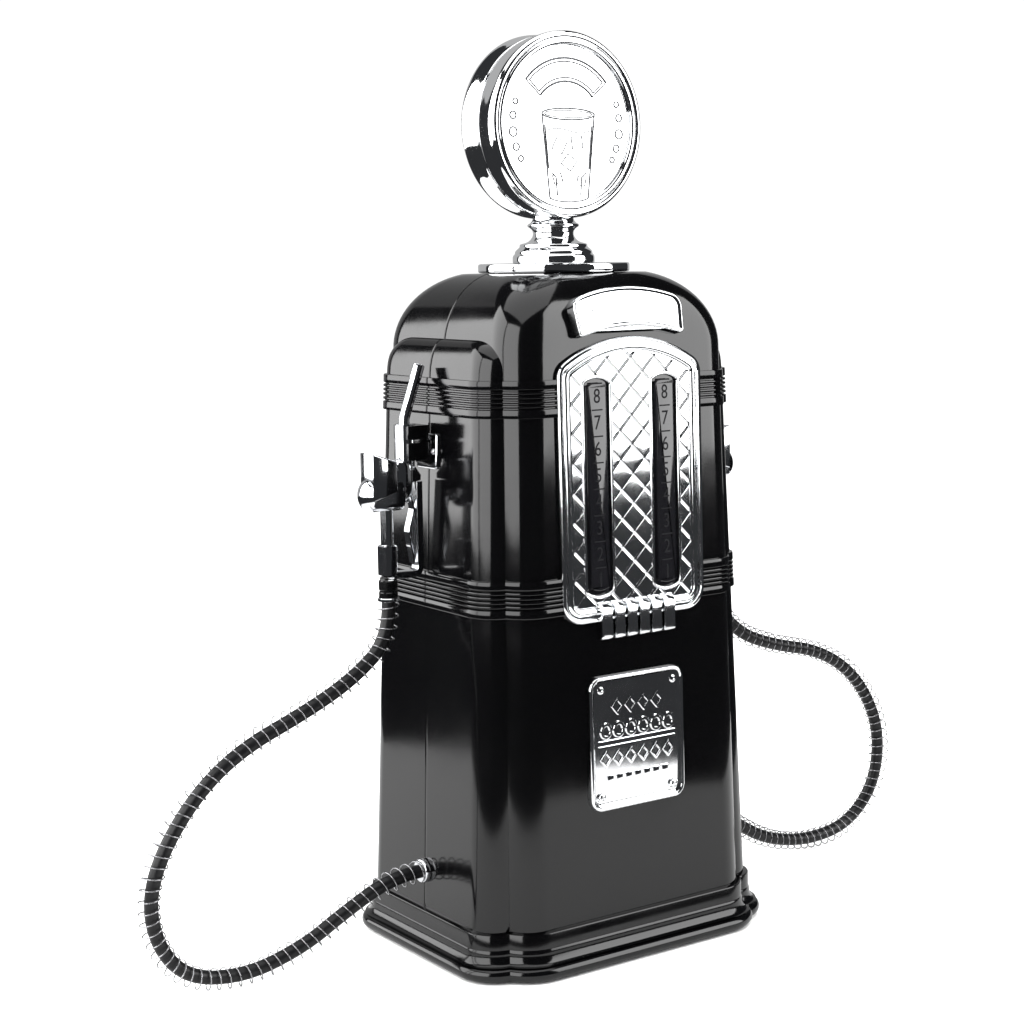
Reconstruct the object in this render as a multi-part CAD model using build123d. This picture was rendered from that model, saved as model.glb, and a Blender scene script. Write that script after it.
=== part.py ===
from build123d import *
import math
import os

# Tabletop twin-nozzle drinks dispenser in the style of an old filling-station pump.
# Millimetres. Origin on the table at the centre of the base, +Z up, the front faces -Y.
# The case and both tanks are symmetric about X = 0; each nozzle hangs in the Y = 0 plane.

os.makedirs("parts", exist_ok=True)

# ---------------------------------------------------------------- driving dimensions
CASE_BOTTOM = 16.0          # lower edge of the case, inside the base skirt
BASE_TOP = 24.0             # upper edge of the base skirt
DOME_START = 316.0          # where the straight walls turn into the dome
DOME_RISE = 40.5
DOME_SIDE_RUN = 36.0        # how far the dome pulls in from each side
DOME_FACE_RUN = 30.0        # how far it pulls in from front and back
DOME_STEPS = (0, 15, 30, 45, 60, 75)
WALL = 2.6

BODY_HALF_W = 77.5          # main body half width at the table
BODY_HALF_D = 70.1          # main body half depth at the table
BODY_DRAFT = 0.0225         # inward lean of every body wall
BODY_CORNER = 18.0
CHEEK_HALF_W = 90.2         # side cheeks, wider and shallower than the body
CHEEK_HALF_D = 59.3
CHEEK_DRAFT = 0.0357
CHEEK_CORNER = 14.0
CHEEK_ARCH_Z = 302.0        # where the cheek starts to curve in to the body
CHEEK_ARCH_RISE = 21.0
SCREW_X = 57.0              # case screws, put in from the rear
SCREW_Z = (59.0, 296.0)
SCREW_SEAT = 56.5
SEAM_GAP = 0.3              # parting line between the two half shells

BAND_LOW = (184.9, 203.7)   # ribbed bands, bottom and top
BAND_HIGH = (284.9, 303.6)
BAND_PROUD = 1.8
BAND_GROOVES = 5
GROOVE_PITCH = 2.25
GROOVE_WIDTH = 1.05
GROOVE_PROUD = 0.7

SKIRT_PROUD = 2.7           # base skirt, cove and lip, measured out from the case
COVE_TOP = 15.4
COVE_PROUD = 7.0
LIP_TOP = 7.8
LIP_PROUD = 8.9
LIP_ROUND = 3.0
FLOOR_GAP = 0.6             # the feet lift the lip this far
FOOT_RADIUS = 7.0

TANK_X = (6.5, 50.5)
TANK_Y = (-56.0, 50.0)
TANK_Z = (33.0, 312.0)
TANK_WALL = 1.6
NECK_X = 21.0               # centre of each filling neck
NECK_RADIUS = 15.0
NECK_TOP = 353.0

LID_RADIUS = 40.2
LID_Z = (355.7, 360.4)
GLOBE_Z = 431.9
GLOBE_RADIUS = 48.1
GLOBE_FACE_RADIUS = 41.1
GLOBE_HALF = 15.4

PANEL_HALF_W = 46.0
PANEL_BOTTOM = 179.3
PANEL_SHOULDER = 309.0
PANEL_APEX = 323.7
PANEL_THICK = 2.2
WINDOW_X = 21.8
WINDOW_Z = (193.0, 303.2)
WINDOW_W = 16.0
WINDOW_CORNER = 4.5
LEVEL_BAR_W = 11.4
BADGE_Z = (80.5, 150.9)
BADGE_HALF_W = 30.8
GRILLE_Z = (170.5, 188.5)
GRILLE_HALF_W = 24.2
LABEL_TILT = 13.0
LABEL_Z = 335.0

INLET_Z = 44.4              # where a hose enters the cheek
INLET_FACE = 91.8           # outer face of the inlet fitting
HOSE_D = 7.2
GUARD_OD = 11.0             # outside of the wire guard wound round the hose
GUARD_ID = 9.0

NOZZLE_X = 107.0            # handle axis
BARREL_Z = 245.5
BARREL_RADIUS = 8.7
HOSE_TOP = 191.0
NECK_AXIS_X = 95.3
NECK_END_Z = 280.8
PIVOT = (99.5, 248.2)       # trigger pivot, X and Z
PLUNGER_Z = 241.4

SIDES = (("left", -1), ("right", 1))


def save(name, shape):
    """Write one node; what is kept is solids only."""
    solids = shape.solids() if hasattr(shape, "solids") else list(shape)
    export_step(solids[0] if len(solids) == 1 else Compound(children=solids), f"parts/{name}.step")


def turned(points, centre=(0, 0, 0)):
    """Solid of revolution about Z from (radius, z) points."""
    face = make_face(Plane.XZ * Polyline(*points, close=True))
    return Pos(*centre) * revolve(face, Axis.Z)


def turned_y(points, z):
    """Solid of revolution about the Y direction from (radius, y) points."""
    return Pos(0, 0, z) * Rot(90, 0, 0) * turned([(r, -y) for r, y in points])


def on_side(shape, side):
    """Parts are drawn on the +X side; the left ones are their mirror image."""
    return shape if side > 0 else mirror(shape, Plane.YZ)


def bar(start, end, radius):
    """Round bar between two points."""
    a, b = Vector(*start), Vector(*end)
    plane = Plane(origin=a, z_dir=b - a)
    return extrude(plane * Circle(radius), (b - a).length)


# ---------------------------------------------------------------- case outlines
def body_size(z, proud):
    lean = BODY_DRAFT * z
    return BODY_HALF_W - lean + proud, BODY_HALF_D - lean + proud, BODY_CORNER + proud


def cheek_size(z, proud):
    half_d = CHEEK_HALF_D - BODY_DRAFT * z + proud
    return CHEEK_HALF_W - CHEEK_DRAFT * z + proud, half_d, CHEEK_CORNER + proud


def section(size, z):
    half_w, half_d, corner = size
    return Pos(0, 0, z) * RectangleRounded(2 * half_w, 2 * half_d, corner)


def prism(size, z0, z1, proud0, proud1=None):
    """Drafted prism of one outline between two heights."""
    proud1 = proud0 if proud1 is None else proud1
    return loft([section(size(z0, proud0), z0), section(size(z1, proud1), z1)], ruled=True)


def both(z0, z1, proud):
    """Slab of the whole plan: body and cheeks together."""
    return prism(body_size, z0, z1, proud) + prism(cheek_size, z0, z1, proud)


def dome(proud):
    half_w, half_d, corner = body_size(DOME_START, proud)
    layers = []
    for step in DOME_STEPS:
        rise, pull = math.sin(math.radians(step)), 1 - math.cos(math.radians(step))
        z = DOME_START + (DOME_RISE + proud) * rise
        size = (half_w - DOME_SIDE_RUN * pull, half_d - DOME_FACE_RUN * pull, corner + 8 * pull)
        layers.append(section(size, z))
    return loft(layers)


def cheeks(proud, bottom):
    """Cheek block under an arch that curves in to the body sides."""
    half_w = body_size(DOME_START, 0)[0]
    top = CHEEK_ARCH_Z + CHEEK_ARCH_RISE + proud
    block = prism(cheek_size, bottom, top, proud)
    run = cheek_size(CHEEK_ARCH_Z, proud)[0] - half_w
    arch = Pos(0, 0, (CHEEK_ARCH_Z + bottom) / 2) * Box(240, 200, CHEEK_ARCH_Z - bottom)
    arch += Pos(0, 0, (top + bottom) / 2) * Box(2 * half_w, 200, top - bottom)
    for side in (-1, 1):
        ellipse = Pos(side * half_w, CHEEK_ARCH_Z) * Ellipse(run, CHEEK_ARCH_RISE + proud)
        arch += extrude(Plane.XZ * ellipse, 100, both=True)
    corner = CHEEK_CORNER + proud
    roof = Pos(0, 0, (top - corner + bottom) / 2) * Box(240, 200, top - corner - bottom)
    across = 2 * cheek_size(top - corner, proud)[1]
    roof += extrude(Plane.YZ * Pos(0, top - 20) * RectangleRounded(across, 40, corner), 120, both=True)
    return block & arch & roof


def case_solid(proud, bottom):
    return prism(body_size, bottom, DOME_START, proud) + dome(proud) + cheeks(proud, bottom)


def band(z0, z1):
    """Plain rims with fine grooves between them."""
    rim = (z1 - z0 - (BAND_GROOVES - 1) * GROOVE_PITCH - GROOVE_WIDTH) / 2
    ring = both(z0, z1, BAND_PROUD)
    for i in range(BAND_GROOVES):
        low = z0 + rim + i * GROOVE_PITCH
        high = low + GROOVE_WIDTH
        ring -= both(low, high, BAND_PROUD + 2) - both(low, high, GROOVE_PROUD)
    return ring


# The flat front leans back by the body draft; front trim is drawn on this plane.
FRONT_LEAN = math.degrees(math.atan(BODY_DRAFT))
FRONT = Plane(
    origin=(0, -BODY_HALF_D, 0), x_dir=(1, 0, 0),
    z_dir=(0, -math.cos(math.radians(FRONT_LEAN)), math.sin(math.radians(FRONT_LEAN))),
)
LABEL = Plane(
    origin=(0, -body_size(LABEL_Z, 0)[1] - 0.2, LABEL_Z), x_dir=(1, 0, 0),
    z_dir=(0, -math.cos(math.radians(LABEL_TILT)), math.sin(math.radians(LABEL_TILT))),
)


def wall_plane(z):
    """Plane on the outside of the right cheek at one height."""
    lean = math.atan(CHEEK_DRAFT)
    return Plane(
        origin=(cheek_size(z, 0)[0], 0, z), x_dir=(0, 1, 0),
        z_dir=(math.cos(lean), 0, math.sin(lean)),
    )


# ---------------------------------------------------------------- case and base
def along_screws(radius, y0, y1):
    """The same round bar at each of the four case screws."""
    bars = Part()
    for x in (-SCREW_X, SCREW_X):
        for z in SCREW_Z:
            bars += Pos(x, (y0 + y1) / 2, z) * Rot(90, 0, 0) * Cylinder(radius, y1 - y0)
    return bars


def window_slots(width, height, thick, sink):
    slots = Part()
    middle = (WINDOW_Z[0] + WINDOW_Z[1]) / 2
    for x in (-WINDOW_X, WINDOW_X):
        outline = Pos(x, middle) * RectangleRounded(width, height, WINDOW_CORNER)
        slots += extrude(FRONT.offset(sink) * outline, thick)
    return slots


def make_case():
    skin = case_solid(0, CASE_BOTTOM) + band(*BAND_LOW) + band(*BAND_HIGH)
    hollow = case_solid(-WALL, CASE_BOTTOM)
    hollow += prism(body_size, CASE_BOTTOM - 1, CASE_BOTTOM, -WALL)
    hollow += prism(cheek_size, CASE_BOTTOM - 1, CASE_BOTTOM, -WALL)
    case = skin - hollow + (along_screws(4.2, -68, 68) & case_solid(-1, CASE_BOTTOM + 1))
    case -= extrude(FRONT * panel_outline(0), 10)
    case -= extrude(Pos(0, 0, 340) * SlotOverall(76, 34), 30)
    case -= window_slots(WINDOW_W - 6.5, WINDOW_Z[1] - WINDOW_Z[0] - 6.5, 20, -12)
    for _, side in SIDES:
        case -= on_side(Pos(88, 0, INLET_Z) * Rot(0, 90, 0) * Cylinder(4.0, 20), side)
    case -= along_screws(1.4, -40, 60)
    case -= along_screws(3.4, SCREW_SEAT, 76)
    cut = Box(300, 200, 500)
    front = case & (Pos(0, -100 - SEAM_GAP / 2, 250) * cut)
    rear = case & (Pos(0, 100 + SEAM_GAP / 2, 250) * cut)
    save("front_shell", front)
    save("rear_shell", rear)
    save("case_screws", along_screws(3.0, SCREW_SEAT, SCREW_SEAT + 2.4) + along_screws(1.4, -22, SCREW_SEAT))


def plan(proud, z0, z1):
    """Vertical-sided slab of the base plan."""
    slab = Part()
    for size in (body_size, cheek_size):
        slab += extrude(section(size(BASE_TOP, proud), z0), z1 - z0)
    return slab


def make_base():
    lip = plan(LIP_PROUD, FLOOR_GAP, LIP_TOP)
    rims = lip.faces().sort_by(Axis.Z)[-1].edges() + lip.faces().sort_by(Axis.Z)[0].edges()
    lip = fillet(rims, LIP_ROUND)
    cove = Part()
    for size in (body_size, cheek_size):
        low, high = size(BASE_TOP, COVE_PROUD), size(BASE_TOP, SKIRT_PROUD + 0.3)
        cove += loft([section(low, LIP_TOP - 1), section(high, COVE_TOP)], ruled=True)
    base = lip + cove + plan(SKIRT_PROUD, LIP_TOP, BASE_TOP)
    base -= plan(0.35, CASE_BOTTOM, BASE_TOP)
    base -= plan(-5.0, 0, CASE_BOTTOM)
    base -= plan(1.0, 0, 4.4)
    for _, side in SIDES:
        base -= on_side(Pos(60, 0, 10) * Box(10, 24, 4), side)
    save("base_skirt", base)
    plate = plan(0.8, 1.4, 4.2)
    feet, sockets = [], []
    for x in (-72, 72):
        for y in (-46, 46):
            feet.append((Pos(x, y, 1.5) * Cylinder(FOOT_RADIUS, 3.0)).solids()[0])
            sockets.append(Pos(x, y, 1.5) * Cylinder(FOOT_RADIUS, 3.0))
    for socket in sockets:
        plate -= socket
    for x in (-40, 40):
        for y in (-62, 62):
            plate -= Pos(x, y, 2.8) * Cylinder(1.6, 4)
    save("base_plate", plate)
    save("rubber_feet", Compound(children=feet))
    screws = []
    for x in (-40, 40):
        for y in (-62, 62):
            screws.append((Pos(x, y, 2.8) * Cylinder(1.6, 2.8)).solids()[0])
    save("base_screws", Compound(children=screws))


# ---------------------------------------------------------------- tanks
def make_tank(name, side):
    x0, x1 = TANK_X
    y0, y1 = TANK_Y
    z0, z1 = TANK_Z
    wide, deep, tall = x1 - x0, y1 - y0, z1 - z0
    middle = ((x0 + x1) / 2, (y0 + y1) / 2, (z0 + z1) / 2)
    outer = fillet((Pos(*middle) * Box(wide, deep, tall)).edges(), 5)
    inner = fillet(
        (Pos(*middle) * Box(wide - 2 * TANK_WALL, deep - 2 * TANK_WALL, tall - 2 * TANK_WALL)).edges(), 3.5
    )
    neck = Pos(NECK_X, 0, (z1 + NECK_TOP) / 2 - 2) * Cylinder(NECK_RADIUS, NECK_TOP - z1 + 4)
    mouth = Pos(NECK_X, 0, (z1 + NECK_TOP) / 2) * Cylinder(NECK_RADIUS - 1.6, NECK_TOP - z1 + 8)
    spigot = Pos((x1 + 62) / 2, 0, INLET_Z) * Rot(0, 90, 0) * Cylinder(2.9, 62 - x1 + 2)
    drain = Pos((x1 + 62) / 2, 0, INLET_Z) * Rot(0, 90, 0) * Cylinder(1.8, 62 - x1 + 8)
    tank = outer + neck + spigot - inner - mouth - drain
    save(f"tank_{name}", on_side(tank, side))


def make_inlet(name, side):
    """Bulkhead fitting through the cheek, and the soft tube from the tank to it."""
    wall = cheek_size(INLET_Z, 0)[0]
    flange = Pos(INLET_FACE - 1.45, 0, INLET_Z) * Rot(0, 90, 0) * Cylinder(6.4, 2.9)
    stem = Pos(wall - 5.0, 0, INLET_Z) * Rot(0, 90, 0) * Cylinder(3.9, 10.6)
    barb = Pos(wall - 14.0, 0, INLET_Z) * Rot(0, 90, 0) * Cylinder(2.9, 8.0)
    bore = Pos(wall - 10.0, 0, INLET_Z) * Rot(0, 90, 0) * Cylinder(1.8, 40)
    save(f"hose_inlet_{name}", on_side(flange + stem + barb - bore, side))
    start, end = TANK_X[1] + 2.0, wall - 10.4
    tube = Pos((start + end) / 2, 0, INLET_Z) * Rot(0, 90, 0) * Cylinder(4.4, end - start)
    tube -= Pos((start + end) / 2, 0, INLET_Z) * Rot(0, 90, 0) * Cylinder(2.9, end - start)
    save(f"inner_tube_{name}", on_side(tube, side))


# ---------------------------------------------------------------- lid, neck and globe
def make_lid():
    z0, z1 = LID_Z
    disc = Pos(0, 0, (z0 + z1) / 2) * Cylinder(LID_RADIUS, z1 - z0)
    disc = fillet(disc.edges(), 0.9)
    disc -= Pos(0, 0, 358) * Cylinder(2.5, 20)
    save("lid_plate", disc)
    for name, side in SIDES:
        seal = Pos(NECK_X, 0, (z0 + 345) / 2) * Cylinder(12.9, z0 - 345)
        seal += Pos(NECK_X, 0, z0 - 0.9) * Cylinder(15.4, 1.8)
        save(f"lid_seal_{name}", on_side(seal, side))
    neck = turned([
        (2.5, z1), (21.7, z1), (21.7, 364.2), (20.7, 366.8), (18.6, 368.6), (17.8, 369.4),
        (17.8, 370.6), (14.2, 371.6), (11.6, 373.2), (10.7, 375.0), (11.3, 377.2), (13.7, 379.6),
        (13.7, 380.6), (11.6, 382.2), (10.8, 384.0), (10.8, 385.6), (2.5, 385.6),
    ])
    drum = Pos(0, 0, GLOBE_Z) * Rot(90, 0, 0) * Cylinder(GLOBE_RADIUS, 40)
    save("neck", neck - drum)
    rod = Pos(0, 0, (346 + 398) / 2) * Cylinder(2.5, 398 - 346)
    save("neck_rod", rod)
    hex_hole = Cylinder(2.5, 10)
    nuts = [
        (Pos(0, 0, z) * (extrude(RegularPolygon(3.9, 6), 3.0) - hex_hole)).solids()[0]
        for z in (LID_Z[0] - 3.0, 390.0)
    ]
    save("neck_nuts", Compound(children=nuts))


def make_globe():
    """Two pressed halves that meet at Y = 0, each closed by an embossed face disc."""
    half = [
        (GLOBE_FACE_RADIUS, -GLOBE_HALF + 3.0), (GLOBE_FACE_RADIUS, -GLOBE_HALF + 1.2),
        (GLOBE_FACE_RADIUS + 1.4, -GLOBE_HALF), (GLOBE_FACE_RADIUS + 3.6, -GLOBE_HALF + 0.3),
        (GLOBE_RADIUS - 1.6, -GLOBE_HALF + 2.2), (GLOBE_RADIUS, -GLOBE_HALF + 5.0),
        (GLOBE_RADIUS, -4.6), (GLOBE_RADIUS - 0.8, -3.8), (GLOBE_RADIUS - 0.8, -0.1),
        (GLOBE_RADIUS - 3.0, -0.1), (GLOBE_RADIUS - 3.0, -GLOBE_HALF + 5.0),
    ]
    face = [
        (0.05, -GLOBE_HALF + 1.8), (GLOBE_FACE_RADIUS, -GLOBE_HALF + 1.8),
        (GLOBE_FACE_RADIUS, -GLOBE_HALF + 3.6), (0.05, -GLOBE_HALF + 3.6),
    ]
    rod = Pos(0, 0, 380) * Cylinder(2.5, 36)
    for name, sign in (("front", 1), ("rear", -1)):
        shell = turned_y([(r, sign * y) for r, y in half], GLOBE_Z) - rod
        save(f"globe_{name}", shell)
        save(f"globe_face_{name}", turned_y([(r, sign * y) for r, y in face], GLOBE_Z))


# ---------------------------------------------------------------- front trim
def panel_outline(inset):
    """Arched panel outline on the front plane."""
    half, low = PANEL_HALF_W - inset, PANEL_BOTTOM + inset
    shoulder, apex = PANEL_SHOULDER - inset * 0.8, PANEL_APEX - inset
    edge = Polyline((-half, shoulder), (-half, low), (half, low), (half, shoulder))
    face = make_face(edge + ThreePointArc((half, shoulder), (0, apex), (-half, shoulder)))
    corners = face.vertices().group_by(Axis.Y)
    face = fillet(corners[0], 12 - inset * 0.7)
    return fillet(face.vertices().group_by(Axis.Y)[-1], 10 - inset * 0.7)


def make_panel():
    plate = extrude(FRONT * panel_outline(0), PANEL_THICK)
    rim = panel_outline(0) - panel_outline(4.0)
    plate += extrude(FRONT.offset(PANEL_THICK) * rim, 1.2)
    middle = (WINDOW_Z[0] + WINDOW_Z[1]) / 2
    for x in (-WINDOW_X, WINDOW_X):
        ring = Pos(x, middle) * (
            RectangleRounded(WINDOW_W + 4, WINDOW_Z[1] - WINDOW_Z[0] + 4, WINDOW_CORNER + 2)
            - RectangleRounded(WINDOW_W, WINDOW_Z[1] - WINDOW_Z[0], WINDOW_CORNER)
        )
        plate += extrude(FRONT.offset(PANEL_THICK) * ring, 1.0)
    plate -= window_slots(WINDOW_W, WINDOW_Z[1] - WINDOW_Z[0], 10, -2)
    plate -= extrude(FRONT * Pos(0, (GRILLE_Z[0] + GRILLE_Z[1]) / 2)
                     * Rectangle(2 * GRILLE_HALF_W, GRILLE_Z[1] - GRILLE_Z[0]), 10)
    save("front_panel", plate)
    tall = WINDOW_Z[1] - WINDOW_Z[0]
    for name, side in SIDES:
        spot = Pos(WINDOW_X, middle)
        scale = extrude(FRONT * spot * RectangleRounded(WINDOW_W - 0.4, tall - 0.4, WINDOW_CORNER), 0.8)
        lens = extrude(FRONT.offset(0.8) * spot * RectangleRounded(LEVEL_BAR_W, tall - 4.6, 3.0), 1.3)
        save(f"level_scale_{name}", on_side(scale, side))
        save(f"window_lens_{name}", on_side(lens, side))
    block = Pos(0, (GRILLE_Z[0] + GRILLE_Z[1]) / 2)
    grille = extrude(FRONT * block * Rectangle(2 * GRILLE_HALF_W, GRILLE_Z[1] - GRILLE_Z[0]), 3.6)
    pitch = 2 * GRILLE_HALF_W / 6
    for i in range(6):
        x = -GRILLE_HALF_W + (i + 0.5) * pitch
        rib = Pos(x, (GRILLE_Z[0] + GRILLE_Z[1]) / 2) * Rectangle(pitch - 2.0, GRILLE_Z[1] - GRILLE_Z[0])
        grille += extrude(FRONT.offset(3.6) * rib, 2.6)
    save("lower_grille", grille)


def make_badge():
    middle = (BADGE_Z[0] + BADGE_Z[1]) / 2
    tall = BADGE_Z[1] - BADGE_Z[0]
    outline = Pos(0, middle) * RectangleRounded(2 * BADGE_HALF_W, tall, 6)
    inner = Pos(0, middle) * RectangleRounded(2 * BADGE_HALF_W - 5, tall - 5, 4)
    badge = extrude(FRONT * outline, 1.6) + extrude(FRONT.offset(1.6) * (outline - inner), 1.0)
    screws = []
    for x in (-BADGE_HALF_W + 7.2, BADGE_HALF_W - 7.2):
        for z in (BADGE_Z[0] + 7, BADGE_Z[1] - 7):
            badge -= extrude(FRONT * Pos(x, z) * Circle(1.2), 5)
            shank = extrude(FRONT * Pos(x, z) * Circle(1.2), 1.6)
            head = extrude(FRONT.offset(1.6) * Pos(x, z) * Circle(2.3), 1.1)
            screws.append((shank + head).solids()[0])
    save("lower_badge", badge)
    save("badge_screws", Compound(children=screws))


def label_outline(inset):
    """Arched band, wider at the top than at the foot."""
    arc_top, arc_low = 13.6 - inset, -6.8 + inset
    half_top, half_low = 36.8 - inset, 32.8 - inset
    drop_top, drop_low = 6.6, 4.6
    top = ThreePointArc((-half_top, arc_top - drop_top), (0, arc_top), (half_top, arc_top - drop_top))
    low = ThreePointArc((half_low, arc_low - drop_low), (0, arc_low), (-half_low, arc_low - drop_low))
    right = Line((half_top, arc_top - drop_top), (half_low, arc_low - drop_low))
    left = Line((-half_low, arc_low - drop_low), (-half_top, arc_top - drop_top))
    face = make_face(top + right + low + left)
    return fillet(face.vertices(), 3.0 - inset * 0.6)


def make_label():
    label = extrude(LABEL * label_outline(0), 1.8)
    label += extrude(LABEL.offset(1.8) * (label_outline(0) - label_outline(2.0)), 1.0)
    back = extrude(LABEL.offset(-12) * label_outline(0), 12.5)
    save("top_label", label + (back - case_solid(0, DOME_START - 60)))


# ---------------------------------------------------------------- nozzle and its holder
def slab(points, half_y, radius=0.0):
    """Flat piece in the XZ plane, from an outline of X and Z, as wide as 2 half_y."""
    face = make_face(Polyline(*points, close=True))
    if radius:
        face = fillet(face.vertices(), radius)
    return extrude(Plane.XZ * face, half_y, both=True)


def strip(points, radii, thick, half_y):
    """Bent strip in the XZ plane that follows a line of X and Z."""
    line = FilletPolyline(*points, radius=radii)
    return extrude(Plane.XZ * trace(line, thick), half_y, both=True)


def nozzle_body():
    barrel = Pos((99 + 113.5) / 2, 0, BARREL_Z) * Rot(0, 90, 0) * Cylinder(BARREL_RADIUS, 14.5)
    barrel += Pos(113.5, 0, BARREL_Z) * Sphere(BARREL_RADIUS)
    block = slab([
        (97.0, 261.4), (100.0, 262.0), (113.6, 266.8), (114.0, 241.0), (102.0, 238.6), (95.6, 241.5),
        (92.0, 247.0), (92.0, 251.0), (86.7, 251.0), (86.9, 254.6), (91.0, 259.6),
    ], 6.6, 0.9)
    neck = Pos(NECK_AXIS_X, 0, (256.7 + NECK_END_Z) / 2) * Cylinder(5.0, NECK_END_Z - 256.7)
    body = barrel + block + neck
    body -= Pos((86 + 102) / 2, 0, 243.2) * Box(16, 5.8, 14.6)
    body -= Pos((101 + 112.4) / 2, 0, PLUNGER_Z) * Rot(0, 90, 0) * Cylinder(1.48, 11.4)
    body -= Pos(PIVOT[0], 0, PIVOT[1]) * Rot(90, 0, 0) * Cylinder(1.0, 20)
    body -= Pos(NOZZLE_X, 0, 234.8) * Cylinder(3.3, 6)
    body -= bar((NECK_AXIS_X, 0, 262), (NECK_AXIS_X, 0, 300), 2.8)
    return body


def make_nozzle(name, side):
    def keep(piece, shape):
        save(f"{piece}_{name}", on_side(shape, side))

    keep("nozzle_body", nozzle_body())
    base, elbow, end = Vector(NECK_AXIS_X, 0, 262), Vector(NECK_AXIS_X, 0, 283.2), Vector(85.6, 0, 310.4)
    bend = FilletPolyline(base, elbow, end, radius=12)
    start = Plane(origin=base, z_dir=(0, 0, 1))
    spout = sweep(start * Circle(2.8), path=bend) - sweep(start * Circle(1.9), path=bend)
    tip = (end - elbow).normalized()
    spout += bar(end - tip * 7.5, end, 3.05) - bar(end - tip * 9, end + tip, 1.9)
    keep("spout", spout)
    trigger = strip(
        [PIVOT, (93.4, 244.2), (91.8, 236.0), (95.4, 225.5), (93.2, 216.0), (92.2, 208.8)],
        [3, 5, 8, 12], 1.6, 2.2,
    )
    trigger += Pos(PIVOT[0], 0, PIVOT[1]) * Rot(90, 0, 0) * Cylinder(2.2, 4.4)
    trigger -= Pos(PIVOT[0], 0, PIVOT[1]) * Rot(90, 0, 0) * Cylinder(1.05, 10)
    keep("trigger", trigger)
    keep("trigger_pin", Pos(PIVOT[0], 0, PIVOT[1]) * Rot(90, 0, 0) * Cylinder(1.0, 12.8))
    keep("valve_plunger", Pos((94.15 + 106.2) / 2, 0, PLUNGER_Z) * Rot(0, 90, 0) * Cylinder(1.4, 12.05))
    coil = Helix(pitch=1.15, height=4.0, radius=1.1)
    wire = sweep(Plane(origin=coil @ 0, z_dir=coil % 0) * Circle(0.28), path=coil)
    keep("valve_spring", Pos(107.9, 0, PLUNGER_Z) * Rot(0, 90, 0) * wire)
    handle = Pos(NOZZLE_X, 0, (203.5 + 237.8) / 2) * Cylinder(3.3, 34.3)
    keep("handle_tube", handle - Pos(NOZZLE_X, 0, 220) * Cylinder(1.8, 60))
    sleeve = extrude(Pos(NOZZLE_X, 0, 203.5) * RectangleRounded(8.6, 9.0, 2.4), 16)
    guard = strip(
        [(NOZZLE_X - 3.0, 203.6), (88.7, 203.6), (88.7, 251.0)], [5.5], 4.0, 3.0,
    )
    guard = sleeve + guard - Pos(NOZZLE_X, 0, 212) * Cylinder(3.3, 30)
    keep("trigger_guard", guard)
    fitting = Pos(NOZZLE_X, 0, (HOSE_TOP + 201.6) / 2) * Cylinder(4.9, 201.6 - HOSE_TOP)
    fitting -= Pos(NOZZLE_X, 0, 200) * Cylinder(1.8, 30)
    keep("hose_fitting", fitting)


def make_holder(name, side):
    """Wall plate and the forked clip that takes the neck of the nozzle."""
    wall = wall_plane(266.0)
    plate = extrude(wall * RectangleRounded(19, 18, 1.6), 1.7)
    root = extrude(wall.offset(1.7) * Rectangle(10.5, 16), 5)
    fork = Pos(91.2, 0, 266.7) * Box(12.4, 14.4, 9.2) + Pos(91.2, 0, 276.4) * Box(12.4, 14.4, 7.4)
    fork = fillet(fork.edges().filter_by(Axis.Z), 2.0)
    clip = root + fork + Pos(86.6, 0, 271.4) * Box(3.2, 10.0, 6)
    clip -= Pos(NECK_AXIS_X, 0, 270) * Cylinder(5.25, 60)
    clip -= Pos(NECK_AXIS_X + 10, 0, 270) * Box(20, 10.5, 60)
    save(f"holder_plate_{name}", on_side(plate, side))
    save(f"holder_clip_{name}", on_side(clip, side))
    screws = [
        extrude(wall.offset(1.7) * Pos(y, 0) * Circle(1.6), 1.0).solids()[0] for y in (-7.2, 7.2)
    ]
    return [on_side(screw, side) for screw in screws]


# ---------------------------------------------------------------- hoses
# Routes from the nozzle fitting down to the table and back into the cheek.
LEFT_ROUTE = [
    (-107.0, 0.0, 191.0), (-107.0, 0.0, 171.0), (-128.0, 0.8, 153.0), (-154.0, 2.0, 139.8),
    (-195.0, 3.6, 123.8), (-222.0, 5.6, 99.8), (-241.0, 8.0, 66.0), (-239.4, 10.0, 36.0),
    (-222.4, 11.4, 12.0), (-190.0, 10.6, 6.2), (-158.0, 7.4, 15.6), (-136.0, 3.6, 30.0),
    (-109.0, 0.0, 44.4), (-91.8, 0.0, 44.4),
]
RIGHT_ROUTE = [
    (107.0, 0.0, 191.0), (107.0, 0.0, 170.0), (128.0, 0.4, 145.4), (156.6, 1.2, 133.9),
    (197.7, 2.4, 124.9), (230.0, 4.0, 103.7), (250.6, 5.6, 70.0), (249.8, 7.4, 34.0),
    (228.0, 8.2, 10.8), (194.0, 7.8, 6.2), (157.6, 5.6, 13.6), (129.0, 2.6, 30.0),
    (109.0, 0.0, 44.4), (91.8, 0.0, 44.4),
]
ROUTE_FACTOR = 0.45


def corner_radii(points):
    """Largest tangent arc that each corner's two runs allow."""
    radii = []
    for a, b, c in zip(points, points[1:], points[2:]):
        run_in, run_out = Vector(*b) - Vector(*a), Vector(*c) - Vector(*b)
        turn = math.radians(run_in.get_angle(run_out))
        radii.append(ROUTE_FACTOR * min(run_in.length, run_out.length) / math.tan(turn / 2))
    return radii


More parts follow.
